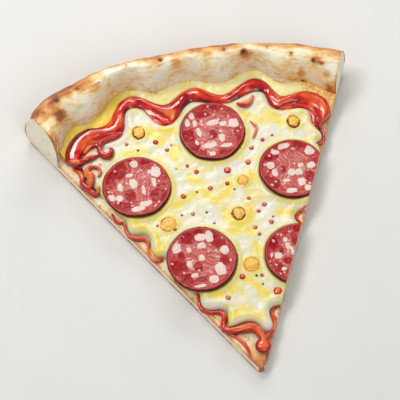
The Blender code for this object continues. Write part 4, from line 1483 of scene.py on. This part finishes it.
@dataclass
class Pepperoni:
    """Slices of pepperoni, each a shallow cup with a lifted edge, two of them cut through with the pizza."""

    plan: Plan
    sides: int = 220
    rings: int = 100
    thickness: float = 2.4
    curl: float = 1.0

    def tree(self, material: bpy.types.Material) -> Growth:
        """The tree that makes a slice.

        Args:
            material: Its finish.

        Returns:
            The tree, whose lengths are in metres and whose turns are in radians.
        """
        growth = Growth("pepperoni_slice", {
            "Centre": "NodeSocketVector", "Radius": "NodeSocketFloat", "Thickness": "NodeSocketFloat",
            "Curl": "NodeSocketFloat", "Lifted": "NodeSocketFloat", "Wobble": "NodeSocketFloat",
            "Sides": "NodeSocketInt", "Rings": "NodeSocketInt"}, material)
        given, m = growth.given, growth.math
        grid = growth.add("GeometryNodeMeshGrid", {
            "Size X": 1.0, "Size Y": 1.0, "Vertices X": given["Sides"], "Vertices Y": given["Rings"]})
        across, up, _ = growth.parts(growth.add("GeometryNodeInputPosition").outputs[0])
        turn = m("MULTIPLY", m("ADD", across, 0.5), 2 * math.pi)
        walk = m("ADD", up, 0.5)
        share = growth.curve(walk, [(0.0, 0.0), (0.2, 0.9), (0.27, 0.985), (0.33, 1.0), (0.4, 0.985), (0.46, 0.95), (0.6, 0.78), (1.0, 0.0)])
        level = growth.curve(walk, [(0.0, 0.0), (0.2, 0.02), (0.27, 0.16), (0.33, 0.5), (0.4, 0.92), (0.46, 1.0), (0.6, 0.84), (1.0, 0.76)])
        cosine, sine = m("COSINE", turn), m("SINE", turn)
        ring = growth.add("ShaderNodeTexNoise", {
            "Vector": growth.vector(cosine, sine, given["Wobble"]), "Scale": 1.3, "Detail": 2.0}).outputs[0]
        out = m("MULTIPLY", m("MULTIPLY", given["Radius"], share), growth.ease(ring, 0.25, 0.75, 0.965, 1.015))
        lift = m("MULTIPLY", m("ADD", m("COSINE", m("SUBTRACT", turn, given["Lifted"])), 1.0), 0.3)
        lift = m("MULTIPLY", m("MULTIPLY", lift, given["Curl"]), m("POWER", share, 5.0))
        height = m("ADD", m("MULTIPLY", level, given["Thickness"]), lift)
        local = growth.vector(m("MULTIPLY", out, cosine), m("MULTIPLY", out, sine), height)
        placed = growth.add("ShaderNodeVectorMath", {0: local, 1: given["Centre"]}, operation="ADD").outputs[0]
        rim = growth.add("GeometryNodeStoreNamedAttribute", {
            "Geometry": grid.outputs[0], "Name": "rim", "Value": growth.ease(share, 0.84, 1.0)}, domain="POINT", data_type="FLOAT")
        shaped = growth.add("GeometryNodeSetPosition", {"Geometry": rim.outputs[0], "Position": placed})
        closed = growth.add("GeometryNodeMergeByDistance", {"Geometry": shaped.outputs[0], "Distance": 2e-5})
        place = growth.add("GeometryNodeInputPosition").outputs[0]
        rise = growth.ease(growth.noise(place, 6.0, 2.0), 0.3, 0.7, -0.22 * MM, 0.22 * MM)
        normal_up = growth.parts(growth.add("GeometryNodeInputNormal").outputs[0])[2]
        rise = m("MULTIPLY", rise, growth.ease(normal_up, 0.3, 0.8))
        raised = growth.add("GeometryNodeSetPosition", {
            "Geometry": closed.outputs[0], "Offset": growth.vector(0.0, 0.0, rise)})
        growth.finish(raised.outputs[0])
        return growth

    def build(self, material: bpy.types.Material) -> list[bpy.types.Object]:
        """Builds and dresses the slices.

        Args:
            material: Their finish.

        Returns:
            The finished pieces.
        """
        growth, pieces = self.tree(material), []
        for number, topping in enumerate(TOPPINGS):
            centre = self.plan.to_frame(np.array([*topping.centre, self.plan.topping_bottom - 0.25]))
            mesh = growth.grow(topping.name + "_slice", {
                "Centre": centre.tolist(), "Radius": topping.radius * MM, "Thickness": self.thickness * MM,
                "Curl": self.curl * MM, "Lifted": math.radians(topping.lifted), "Wobble": 3.7 * number,
                "Sides": self.sides + 1, "Rings": self.rings})
            self.close(mesh, topping.cut)
            self.marble(mesh, topping)
            piece = show(mesh, material, 70.0)
            settle(piece, "pepperoni", topping.name)
            pieces.append(piece)
        return pieces

    def marble(self, mesh: bpy.types.Mesh, topping: Topping) -> None:
        """Writes where the fat and the deep red patches lie, and raises the fat a little.

        Args:
            mesh: The slice.
            topping: What the slice is like.
        """
        points, normals = read_points(mesh, self.plan)
        own = points[:, :2] - np.array(topping.centre)
        pushed = own + 0.5 * np.column_stack([Grain(61, 2.6).at(points), Grain(62, 2.6).at(points)])
        traits = {}
        for trait, patches in (("fat", topping.fat), ("lean", topping.lean)):
            value = np.zeros(len(points))
            for x, y, wide, deep in patches:
                away = (np.abs((pushed[:, 0] - x) / wide) ** 2.4 + np.abs((pushed[:, 1] - y) / deep) ** 2.4) ** (1 / 2.4)
                value = np.maximum(value, smooth(away, 1.35, 0.65))
            traits[trait] = value
        for trait, value in (*traits.items(), ("own_x", own[:, 0]), ("own_y", own[:, 1])):
            set_trait(mesh, trait, value)
        points[:, 2] += 0.22 * traits["fat"] * smooth(normals[:, 2], 0.5, 0.9)
        write_points(mesh, self.plan, points)

    def close(self, mesh: bpy.types.Mesh, cut: bool) -> None:
        """Turns the faces outwards and cuts the slice at the right side if the pizza was cut there.

        Args:
            mesh: The slice.
            cut: Whether the cut runs through it.
        """
        work = bmesh.new()
        work.from_mesh(mesh)
        if cut:
            across = Vector((math.cos(self.plan.half_angle), -math.sin(self.plan.half_angle), 0))
            parts = [*work.verts, *work.edges, *work.faces]
            sliced = bmesh.ops.bisect_plane(work, geom=parts, plane_co=(0, self.plan.pie_centre_y, 0), plane_no=across,
                                            clear_outer=True, dist=1e-7)
            rim = [e for e in sliced["geom_cut"] if isinstance(e, bmesh.types.BMEdge)]
            bmesh.ops.edgenet_fill(work, edges=rim)
        bmesh.ops.recalc_face_normals(work, faces=work.faces)
        work.to_mesh(mesh)
        work.free()


@dataclass
class ToastedBubbles:
    """Low domes of toasted cheese."""

    plan: Plan
    rings: int = 5

    def tree(self, material: bpy.types.Material) -> Growth:
        """The tree that makes a bubble.

        Args:
            material: Its finish.

        Returns:
            The tree, whose lengths are in metres.
        """
        growth = Growth("toasted_bubble", {
            "Centre": "NodeSocketVector", "Size": "NodeSocketVector", "Wrinkle": "NodeSocketFloat", "Steps": "NodeSocketInt"},
            material)
        given, m = growth.given, growth.math
        ball = growth.add("GeometryNodeMeshIcoSphere", {"Radius": 1.0, "Subdivisions": given["Steps"]})
        place = growth.add("GeometryNodeInputPosition").outputs[0]
        x, y, z = growth.parts(place)
        flat = m("MAXIMUM", z, -0.15)
        dome = growth.vector(x, y, m("ADD", flat, 0.15))
        sized = growth.add("ShaderNodeVectorMath", {0: dome, 1: given["Size"]}, operation="MULTIPLY").outputs[0]
        placed = growth.add("ShaderNodeVectorMath", {0: sized, 1: given["Centre"]}, operation="ADD").outputs[0]
        shaped = growth.add("GeometryNodeSetPosition", {"Geometry": ball.outputs[0], "Position": placed})
        spot = growth.add("GeometryNodeInputPosition").outputs[0]
        wrinkle = m("MULTIPLY", growth.ease(growth.noise(spot, 1.9, 2.0), 0.3, 0.7, -1.0, 1.0), given["Wrinkle"])
        normal = growth.add("GeometryNodeInputNormal").outputs[0]
        push = growth.add("ShaderNodeVectorMath", {0: normal, "Scale": wrinkle}, operation="SCALE").outputs[0]
        wrinkled = growth.add("GeometryNodeSetPosition", {"Geometry": shaped.outputs[0], "Offset": push})
        growth.finish(wrinkled.outputs[0])
        return growth

    def build(self, cheese: Cheese, material: bpy.types.Material) -> list[bpy.types.Object]:
        """Builds and dresses the bubbles.

        Args:
            cheese: What they stand on.
            material: Their finish.

        Returns:
            The finished pieces.
        """
        growth, pieces = self.tree(material), []
        for number, bubble in enumerate(BUBBLES, start=1):
            at = np.array([*bubble.centre, cheese.plan.cheese_top - 0.1])
            mesh = growth.grow(f"bubble_{number}_toasted", {
                "Centre": self.plan.to_frame(at).tolist(), "Size": (bubble.wide * MM, bubble.deep * MM, bubble.rise * MM),
                "Wrinkle": 0.18 * MM, "Steps": self.rings})
            height = (read_points(mesh, self.plan)[0][:, 2] - at[2]) / bubble.rise
            set_trait(mesh, "yellow", smooth(height, 0.1, 0.8))
            # Painted shade: the dome turns dark brown towards its foot, where it meets the cheese; ring sets how
            # strongly.
            set_trait(mesh, "toast", 0.1 + bubble.ring * 1.3 * smooth(height, 0.88, 0.6))
            piece = show(mesh, material, 80.0)
            settle(piece, "toasted_cheese", f"cheese_bubble_{number}")
            pieces.append(piece)
        return pieces


class Strewn(Enum):
    """The small things that lie about on the cheese."""

    DROPS = "sauce_drops"
    FLAKES = "pepper_flakes"


@dataclass
class Scatter:
    """Drops of red sauce and dark flakes of pepper, at their true size on the cheese."""

    plan: Plan
    drops: tuple[tuple[float, float, float], ...] = (
        (3.1, 12.6, 3.4),
        (-35.6, 134.1, 0.9), (-21.3, 131.7, 1.25), (-16.7, 126.1, 1.0), (-9.0, 114.7, 0.85), (-5.4, 110.3, 1.1),
        (9.7, 107.5, 1.6), (31.0, 120.2, 1.0), (24.5, 117.0, 1.1), (20.7, 109.4, 1.2), (-1.0, 99.7, 1.1), (7.8, 100.3, 1.0),
        (-14.9, 98.4, 1.2), (5.9, 83.3, 0.7), (-12.7, 87.9, 0.9), (16.1, 89.8, 0.9), (22.6, 84.6, 1.1), (19.0, 81.8, 0.9),
        (23.5, 74.3, 1.1), (15.1, 73.3, 0.9), (16.0, 69.2, 0.85), (-7.2, 39.7, 1.1), (16.9, 37.4, 1.9), (2.3, 49.0, 1.3),
        (11.6, 47.5, 0.8), (-27.8, 87.5, 0.75), (-28.0, 82.5, 0.75), (-31.1, 85.5, 0.65), (-23.2, 81.5, 0.75),
    )
    flakes: tuple[tuple[float, float, float], ...] = (
        (-30.8, 129.3, 0.6), (-6.0, 87.2, 0.6), (-18.1, 88.5, 0.55), (36.3, 121.6, 0.6), (10.5, 96.4, 0.5), (9.0, 47.9, 0.6),
        (10.9, 42.8, 0.5), (-3.7, 80.3, 0.5), (25.0, 77.1, 0.5), (-14.1, 128.3, 0.45), (-7.9, 99.3, 0.55),
    )

    def tree(self, kind: Strewn, material: bpy.types.Material) -> Growth:
        """The tree that puts one small thing on each point of a mesh, at the size that the point carries.

        Args:
            kind: Which small thing.
            material: Its finish.

        Returns:
            The tree.
        """
        growth = Growth(kind.value, {"Flatness": "NodeSocketFloat", "Ragged": "NodeSocketFloat", "Steps": "NodeSocketInt",
                                     "Seed": "NodeSocketInt"}, material)
        given, m = growth.given, growth.math
        ball = growth.add("GeometryNodeMeshIcoSphere", {"Radius": 1.0, "Subdivisions": given["Steps"]})
        size = growth.add("GeometryNodeInputNamedAttribute", {"Name": "size"}, data_type="FLOAT").outputs[0]
        spin = growth.add("FunctionNodeRandomValue", {"Max": 6.28, "Seed": given["Seed"]}, data_type="FLOAT")
        spin_value = [s for s in spin.outputs if s.enabled][0]
        put = growth.add("GeometryNodeInstanceOnPoints", {
            "Points": given["Geometry"], "Instance": ball.outputs[0], "Rotation": growth.vector(0.0, 0.0, spin_value),
            "Scale": growth.vector(size, size, m("MULTIPLY", size, given["Flatness"]))})
        real = growth.add("GeometryNodeRealizeInstances", {0: put.outputs[0]}).outputs[0]
        spot = growth.add("GeometryNodeInputPosition").outputs[0]
        push = growth.add("ShaderNodeTexNoise", {"Vector": spot, "Scale": 900.0, "Detail": 1.0}).outputs["Color"]
        centred = growth.add("ShaderNodeVectorMath", {0: push, 1: (0.5, 0.5, 0.5)}, operation="SUBTRACT").outputs[0]
        moved = growth.add("ShaderNodeVectorMath", {0: centred, "Scale": given["Ragged"]}, operation="SCALE").outputs[0]
        ragged = growth.add("GeometryNodeSetPosition", {"Geometry": real, "Offset": moved})
        growth.finish(ragged.outputs[0])
        return growth

    def build(self, kind: Strewn, cheese: Cheese, material: bpy.types.Material) -> bpy.types.Object:
        """Builds and dresses all of one kind.

        Args:
            kind: Which small thing.
            cheese: What they lie on.
            material: Their finish.

        Returns:
            The finished piece.
        """
        sites = np.array(self.drops if kind is Strewn.DROPS else self.flakes)
        start = bpy.data.meshes.new(kind.value + "_sites")
        heights = cheese.surface(sites[:, 0], sites[:, 1])
        start.from_pydata(self.plan.to_frame(np.column_stack([sites[:, :2], heights])).tolist(), [], [])
        set_trait(start, "size", sites[:, 2] * 1.12 * MM)
        is_drop = kind is Strewn.DROPS
        mesh = self.tree(kind, material).grow(kind.value, {
            "Flatness": 0.55 if is_drop else 0.4, "Ragged": (0.35 if is_drop else 0.6) * MM, "Steps": 4 if is_drop else 2,
            "Seed": 5}, start)
        # Painted shade and highlight: each drop darker on its steep sides and orange on its up-facing top, by which way
        # each point faces.
        facing = read_points(mesh, self.plan)[1][:, 2]
        set_trait(mesh, "thin", 0.7 * smooth(facing, 0.9, 1.0))
        set_trait(mesh, "edge", smooth(facing, 0.93, 0.5))
        piece = show(mesh, material, 80.0 if is_drop else 20.0)
        settle(piece, "sauce")
        return piece


@dataclass(frozen=True)
class Stroke:
    """A rope of sauce: places on the plan, each with the rope's half width, and how thin the sauce looks."""

    thinness: float
    places: tuple[tuple[float, float, float], ...]


STROKES = (
    Stroke(0.15, ((-20.3, 50.0, 0.8), (-20.4, 46.3, 0.9), (-21.0, 42.4, 1.0), (-20.6, 38.4, 1.2), (-17.8, 36.0, 1.25),
                 (-14.4, 35.1, 1.4), (-11.8, 34.1, 1.7), (-11.0, 31.6, 2.0), (-12.3, 28.7, 2.1), (-12.5, 25.7, 2.4),
                 (-10.1, 23.8, 2.6), (-6.4, 23.4, 2.9), (-3.0, 23.5, 3.1), (0.1, 23.2, 3.1), (2.5, 21.3, 3.0),
                 (3.8, 18.5, 2.9), (3.9, 15.6, 2.9), (3.4, 13.2, 2.9), (3.1, 11.2, 2.9))),
    Stroke(0.4, ((4.0, 15.4, 2.0), (7.6, 17.8, 1.7), (10.0, 19.9, 1.3), (11.7, 22.7, 1.2), (11.9, 25.8, 1.5),
                 (11.6, 28.3, 1.2), (12.7, 30.2, 1.0), (14.7, 31.0, 0.7), (16.6, 31.5, 0.4))),
    Stroke(0.6, ((-12.0, 23.6, 0.7), (-8.1, 20.3, 1.1), (-5.4, 16.7, 1.35), (-4.0, 12.5, 1.1), (-3.8, 9.3, 0.6),
                 (-4.1, 7.1, 0.3))),
    Stroke(0.5, ((-17.7, 35.6, 0.5), (-16.1, 34.0, 0.6), (-15.0, 32.6, 0.3))),
    Stroke(0.4, ((-51.3, 99.6, 0.6), (-50.6, 98.0, 0.9), (-50.0, 95.0, 1.0), (-48.4, 93.2, 0.9), (-47.2, 93.4, 0.9),
                 (-46.4, 91.1, 1.1), (-46.3, 88.3, 1.0), (-45.5, 85.2, 1.1), (-43.5, 83.1, 1.3), (-40.9, 82.2, 1.6),
                 (-38.6, 81.5, 1.6), (-37.4, 79.0, 1.4), (-38.0, 75.8, 1.2), (-38.0, 72.5, 1.2), (-36.7, 69.3, 1.4),
                 (-34.3, 68.6, 1.4), (-32.0, 69.3, 0.9))),
    Stroke(0.5, ((-64.6, 128.8, 0.9), (-62.6, 126.9, 1.3), (-61.2, 124.6, 1.9), (-61.0, 122.0, 2.0), (-61.4, 119.6, 2.1),
                 (-60.8, 117.4, 2.3), (-59.2, 115.4, 2.4), (-58.0, 113.2, 2.1), (-56.8, 111.5, 1.9), (-55.1, 111.8, 1.8),
                 (-53.8, 113.6, 1.3))),
    Stroke(0.55, ((-58.9, 114.9, 2.2), (-57.4, 117.4, 2.8), (-57.0, 119.8, 3.0), (-58.2, 121.8, 2.6), (-57.5, 124.0, 1.9),
                  (-55.2, 125.0, 1.5), (-52.6, 124.0, 1.4), (-51.8, 121.4, 1.3), (-53.4, 119.0, 1.1))),
    Stroke(0.1, ((-65.6, 132.0, 1.8), (-63.9, 130.3, 2.3), (-61.1, 129.4, 2.4), (-58.0, 129.3, 2.2), (-55.3, 129.8, 2.0),
                 (-52.4, 130.4, 1.5), (-50.4, 130.5, 0.8))),
    Stroke(0.75, ((-57.8, 133.2, 1.2), (-55.6, 135.2, 1.7), (-53.2, 136.2, 1.8), (-50.6, 136.6, 1.2))),
    Stroke(0.25, ((-36.4, 141.4, 2.0), (-40.0, 139.6, 2.1), (-44.1, 139.4, 2.1), (-47.6, 137.4, 2.2), (-49.4, 134.2, 2.3),
                 (-49.0, 131.0, 2.4), (-46.9, 129.3, 2.4), (-44.6, 129.9, 2.3), (-43.6, 132.2, 1.8), (-44.6, 133.6, 1.1))),
    Stroke(0.6, ((23.6, 143.8, 0.7), (25.4, 142.3, 1.6), (28.0, 141.7, 2.0), (30.4, 142.8, 1.8), (33.0, 146.0, 0.9))),
    Stroke(0.3, ((60.8, 126.8, 1.8), (60.9, 123.6, 1.6), (61.2, 121.4, 1.2), (62.1, 118.0, 1.2), (61.4, 114.5, 1.2),
                 (59.0, 112.9, 0.9), (56.2, 112.2, 0.8))),
    Stroke(0.5, ((42.4, 79.3, 0.9), (39.4, 77.9, 0.9), (36.9, 76.2, 0.9), (36.6, 73.9, 1.4), (37.8, 71.4, 1.2))),
    Stroke(1.0, ((27.4, 132.3, 0.5), (29.2, 129.5, 1.0), (29.8, 127.4, 0.9), (28.2, 124.2, 1.0), (26.4, 122.0, 0.6))),
)


@dataclass
class SauceCurls:
    """Ropes and curls of sauce that strayed from the ribbon, each swept along a path on the surface."""

    plan: Plan
    flatness: float = 0.62
    sides: int = 24
    spacing: float = 0.22
    sag: float = 2.0

    def tree(self, material: bpy.types.Material) -> Growth:
        """The tree that sweeps a flattened round along the edges of a mesh.

        Args:
            material: The ropes' finish.

        Returns:
            The tree.
        """
        growth = Growth("sauce_curls", {"Flatness": "NodeSocketFloat", "Sides": "NodeSocketInt", "Ripple": "NodeSocketFloat"},
                        material)
        given = growth.given
        girth = growth.add("GeometryNodeInputNamedAttribute", {"Name": "girth"}, data_type="FLOAT").outputs[0]
        path = growth.add("GeometryNodeMeshToCurve", {0: given["Geometry"]}).outputs[0]
        upright = growth.add("GeometryNodeSetCurveNormal", {"Curve": path}, mode="Z_UP").outputs[0]
        ring = growth.add("GeometryNodeCurvePrimitiveCircle", {"Resolution": given["Sides"], "Radius": 1.0}).outputs[0]
        flat = growth.add("GeometryNodeTransform", {"Geometry": ring, "Scale": growth.vector(given["Flatness"], 1.0, 1.0)})
        tube = growth.add("GeometryNodeCurveToMesh", {
            "Curve": upright, "Profile Curve": flat.outputs[0], "Scale": girth, "Fill Caps": True}).outputs[0]
        spot = growth.add("GeometryNodeInputPosition").outputs[0]
        wave = growth.ease(growth.noise(spot, 2.6, 2.0), 0.3, 0.7, -1.0, 1.0)
        normal = growth.add("GeometryNodeInputNormal").outputs[0]
        push = growth.math("MULTIPLY", growth.math("MULTIPLY", wave, given["Ripple"]), girth)
        offset = growth.add("ShaderNodeVectorMath", {0: normal, "Scale": push}, operation="SCALE").outputs[0]
        rippled = growth.add("GeometryNodeSetPosition", {"Geometry": tube, "Offset": offset})
        growth.finish(rippled.outputs[0])
        return growth

    def route(self, stroke: Stroke, cheese: Cheese) -> tuple[np.ndarray, np.ndarray]:
        """The path of a rope in space and its half widths, rounded off at both ends.

        Args:
            stroke: The rope.
            cheese: What most ropes lie on.

        Returns:
            The path's points, and the half widths there.
        """
        path = spline(list(stroke.places), self.spacing)
        x, y, girth = path.T
        girth = np.maximum(1.15 * girth, 0.25) * (1 + 0.08 * Grain(51, 4.0).at(np.column_stack([x, y, np.zeros_like(x)])))
        along = np.concatenate([[0], np.cumsum(np.hypot(np.diff(x), np.diff(y)))])
        end = np.minimum(along, along[-1] - along)
        rounded = girth * np.sqrt(np.clip(1 - (1 - np.clip(end / girth, 0, 1)) ** 2, 0.01, 1))
        inside = cheese.inside(x, y)
        turns, distance = self.plan.polar_of(x, y)
        in_ribbon = (turns < math.radians(149.5)) & (turns > math.radians(26.0)) & (inside < 0)
        ground = np.where(inside > 0, cheese.surface(x, y), self.plan.base_top)
        ground = np.where(in_ribbon, 8.3, ground)
        reach = max(1, round(self.sag / self.spacing))
        kernel = np.hanning(2 * reach + 3)[1:-1]
        padded = np.pad(ground, reach, mode="edge")
        level = np.convolve(padded, kernel / kernel.sum(), mode="valid") + 0.25 * rounded
        return np.column_stack([x, y, level]), rounded

    def build(self, cheese: Cheese, material: bpy.types.Material) -> bpy.types.Object:
        """Builds and dresses the ropes.

        Args:
            cheese: What most of them lie on.
            material: Their finish.

        Returns:
            The finished piece.
        """
        points, edges, girths, thins = [], [], [], []
        for stroke in STROKES:
            route, girth = self.route(stroke, cheese)
            edges += [(len(points) + i, len(points) + i + 1) for i in range(len(route) - 1)]
            points += route.tolist()
            girths += (girth * MM).tolist()
            thins += [stroke.thinness] * len(route)
        start = bpy.data.meshes.new("sauce_curl_paths")
        start.from_pydata(self.plan.to_frame(np.array(points)).tolist(), edges, [])
        set_trait(start, "girth", np.array(girths))
        set_trait(start, "thin", np.array(thins))
        mesh = self.tree(material).grow("sauce_curls", {"Flatness": self.flatness, "Sides": self.sides, "Ripple": 0.035}, start)
        spots, _ = read_points(mesh, self.plan)
        set_trait(mesh, "along", spots[:, 0] + spots[:, 1])
        set_trait(mesh, "across", spots[:, 2] * 2)
        # Painted shade: the ropes darker on their steep sides, by which way each point faces.
        set_trait(mesh, "edge", 0.9 * smooth(read_points(mesh, self.plan)[1][:, 2], 0.75, 0.2))
        piece = show(mesh, material, 80.0)
        settle(piece, "sauce")
        return piece


@dataclass
class Studio:
    """A plain pale floor, soft lights and the camera."""

    plan: Plan
    azimuth: float = -14.02
    elevation: float = 62.0
    distance: float = 900.0
    aim: float = 95.0
    focal: float = 1810.7
    middle: tuple[float, float] = (214.6, 205.1)
    frame: float = 400.0

    def floor(self) -> None:
        """Lays the floor."""
        bpy.ops.mesh.primitive_plane_add(size=6.0)
        floor = bpy.context.object
        floor.name = "studio_floor"
        finish = PlainFinish("studio_paper", srgb(225, 224, 220), srgb(223, 222, 218), 40.0, 0.9)
        floor.data.materials.append(finish.make())

    def camera(self) -> None:
        """Sets the camera up. Its frame's middle is brought in line by turning it, not by a lens shift."""
        turn, tilt = math.radians(self.azimuth), math.radians(self.elevation)
        back = Vector((math.sin(turn) * math.cos(tilt), -math.cos(turn) * math.cos(tilt), math.sin(tilt)))
        target = Vector(self.plan.to_frame(np.array([0.0, self.aim, 0.0])))
        data = bpy.data.cameras.new("camera")
        data.sensor_width = 36.0
        data.lens = self.focal / self.frame * data.sensor_width
        camera = bpy.data.objects.new("camera", data)
        bpy.context.scene.collection.objects.link(camera)
        across = math.atan((self.middle[0] - self.frame / 2) / self.focal)
        down = math.atan((self.middle[1] - self.frame / 2) / self.focal)
        facing = back.to_track_quat("Z", "Y").to_matrix().to_4x4()
        facing = facing @ Matrix.Rotation(across, 4, "Y") @ Matrix.Rotation(down, 4, "X")
        camera.matrix_world = Matrix.Translation(target + back * self.distance * MM) @ facing
        bpy.context.scene.camera = camera

    @staticmethod
    def lamp(name: str, place: tuple[float, float, float], wide: float, deep: float, power: float, colour: tuple[float, float, float]) -> None:
        """Hangs a lamp that faces the slice.

        Args:
            name: Its name.
            place: Where it hangs, in metres.
            wide: Level width of its face.
            deep: The face's other width.
            power: Watts.
            colour: Its light's colour.
        """
        data = bpy.data.lights.new(name, "AREA")
        data.shape, data.size, data.size_y = "RECTANGLE", wide, deep
        data.energy, data.color = power, colour
        lamp = bpy.data.objects.new(name, data)
        lamp.location = place
        lamp.rotation_euler = Vector(place).to_track_quat("Z", "Y").to_euler()
        bpy.context.scene.collection.objects.link(lamp)

    def build(self) -> None:
        """Sets up floor, camera, lamps and the room's light."""
        self.floor()
        self.camera()
        self.lamp("key", (-0.5, 0.2, 1.0), 0.35, 0.35, 3.8, (1.0, 0.985, 0.965))
        self.lamp("strip", (-0.1, 0.5, 0.75), 0.5, 0.09, 2.4, (1.0, 1.0, 1.0))
        self.lamp("fill", (0.6, -2.4, 2.2), 1.6, 1.6, 25.0, (1.0, 0.99, 0.98))
        self.lamp("back", (0.3, 0.75, 0.5), 0.6, 0.3, 2.7, (1.0, 1.0, 1.0))
        world = bpy.data.worlds.new("room")
        bpy.context.scene.world = world
        world.use_nodes = True
        world.node_tree.nodes["Background"].inputs[0].default_value = (1.0, 1.0, 1.0, 1.0)
        world.node_tree.nodes["Background"].inputs[1].default_value = 0.3
        bpy.context.scene.view_settings.view_transform = "Standard"


def main() -> None:
    """Builds the slice from the dough up, then the studio."""
    logging.basicConfig(level=logging.INFO, format="%(name)s: %(message)s")
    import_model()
    plan = Plan()
    cheese = Cheese(plan)
    sauce_material = SauceFinish().make()
    # The toasted finish's dark brown also paints the shade at each bubble's foot.
    toasted = CheeseFinish("toasted_cheese", cream=srgb(240, 180, 72), pale=srgb(238, 170, 60), yellow=srgb(246, 190, 76),
                           toasted=srgb(134, 58, 20), roughness=0.3)
    # The golden finish's toast colour also paints the shade along the rim's foot.
    border = CheeseFinish("golden_cheese", cream=srgb(250, 240, 176), pale=srgb(249, 234, 150), yellow=srgb(248, 214, 60),
                          toasted=srgb(228, 160, 60))
    Dough(plan).build(DoughFinish().make())
    CheeseBorder(plan).build(border.make())
    Sauce(plan).build(sauce_material)
    cheese.build(CheeseFinish().make())
    Pepperoni(plan).build(MeatFinish().make())
    ToastedBubbles(plan).build(cheese, toasted.make())
    SauceCurls(plan).build(cheese, sauce_material)
    scatter = Scatter(plan)
    pepper = PlainFinish("black_pepper", srgb(48, 30, 24), srgb(84, 52, 36), 0.5, 0.6, relief=0.1)
    scatter.build(Strewn.DROPS, cheese, sauce_material)
    scatter.build(Strewn.FLAKES, cheese, pepper.make())
    Studio(plan).build()


if __name__ == "__main__":
    main()
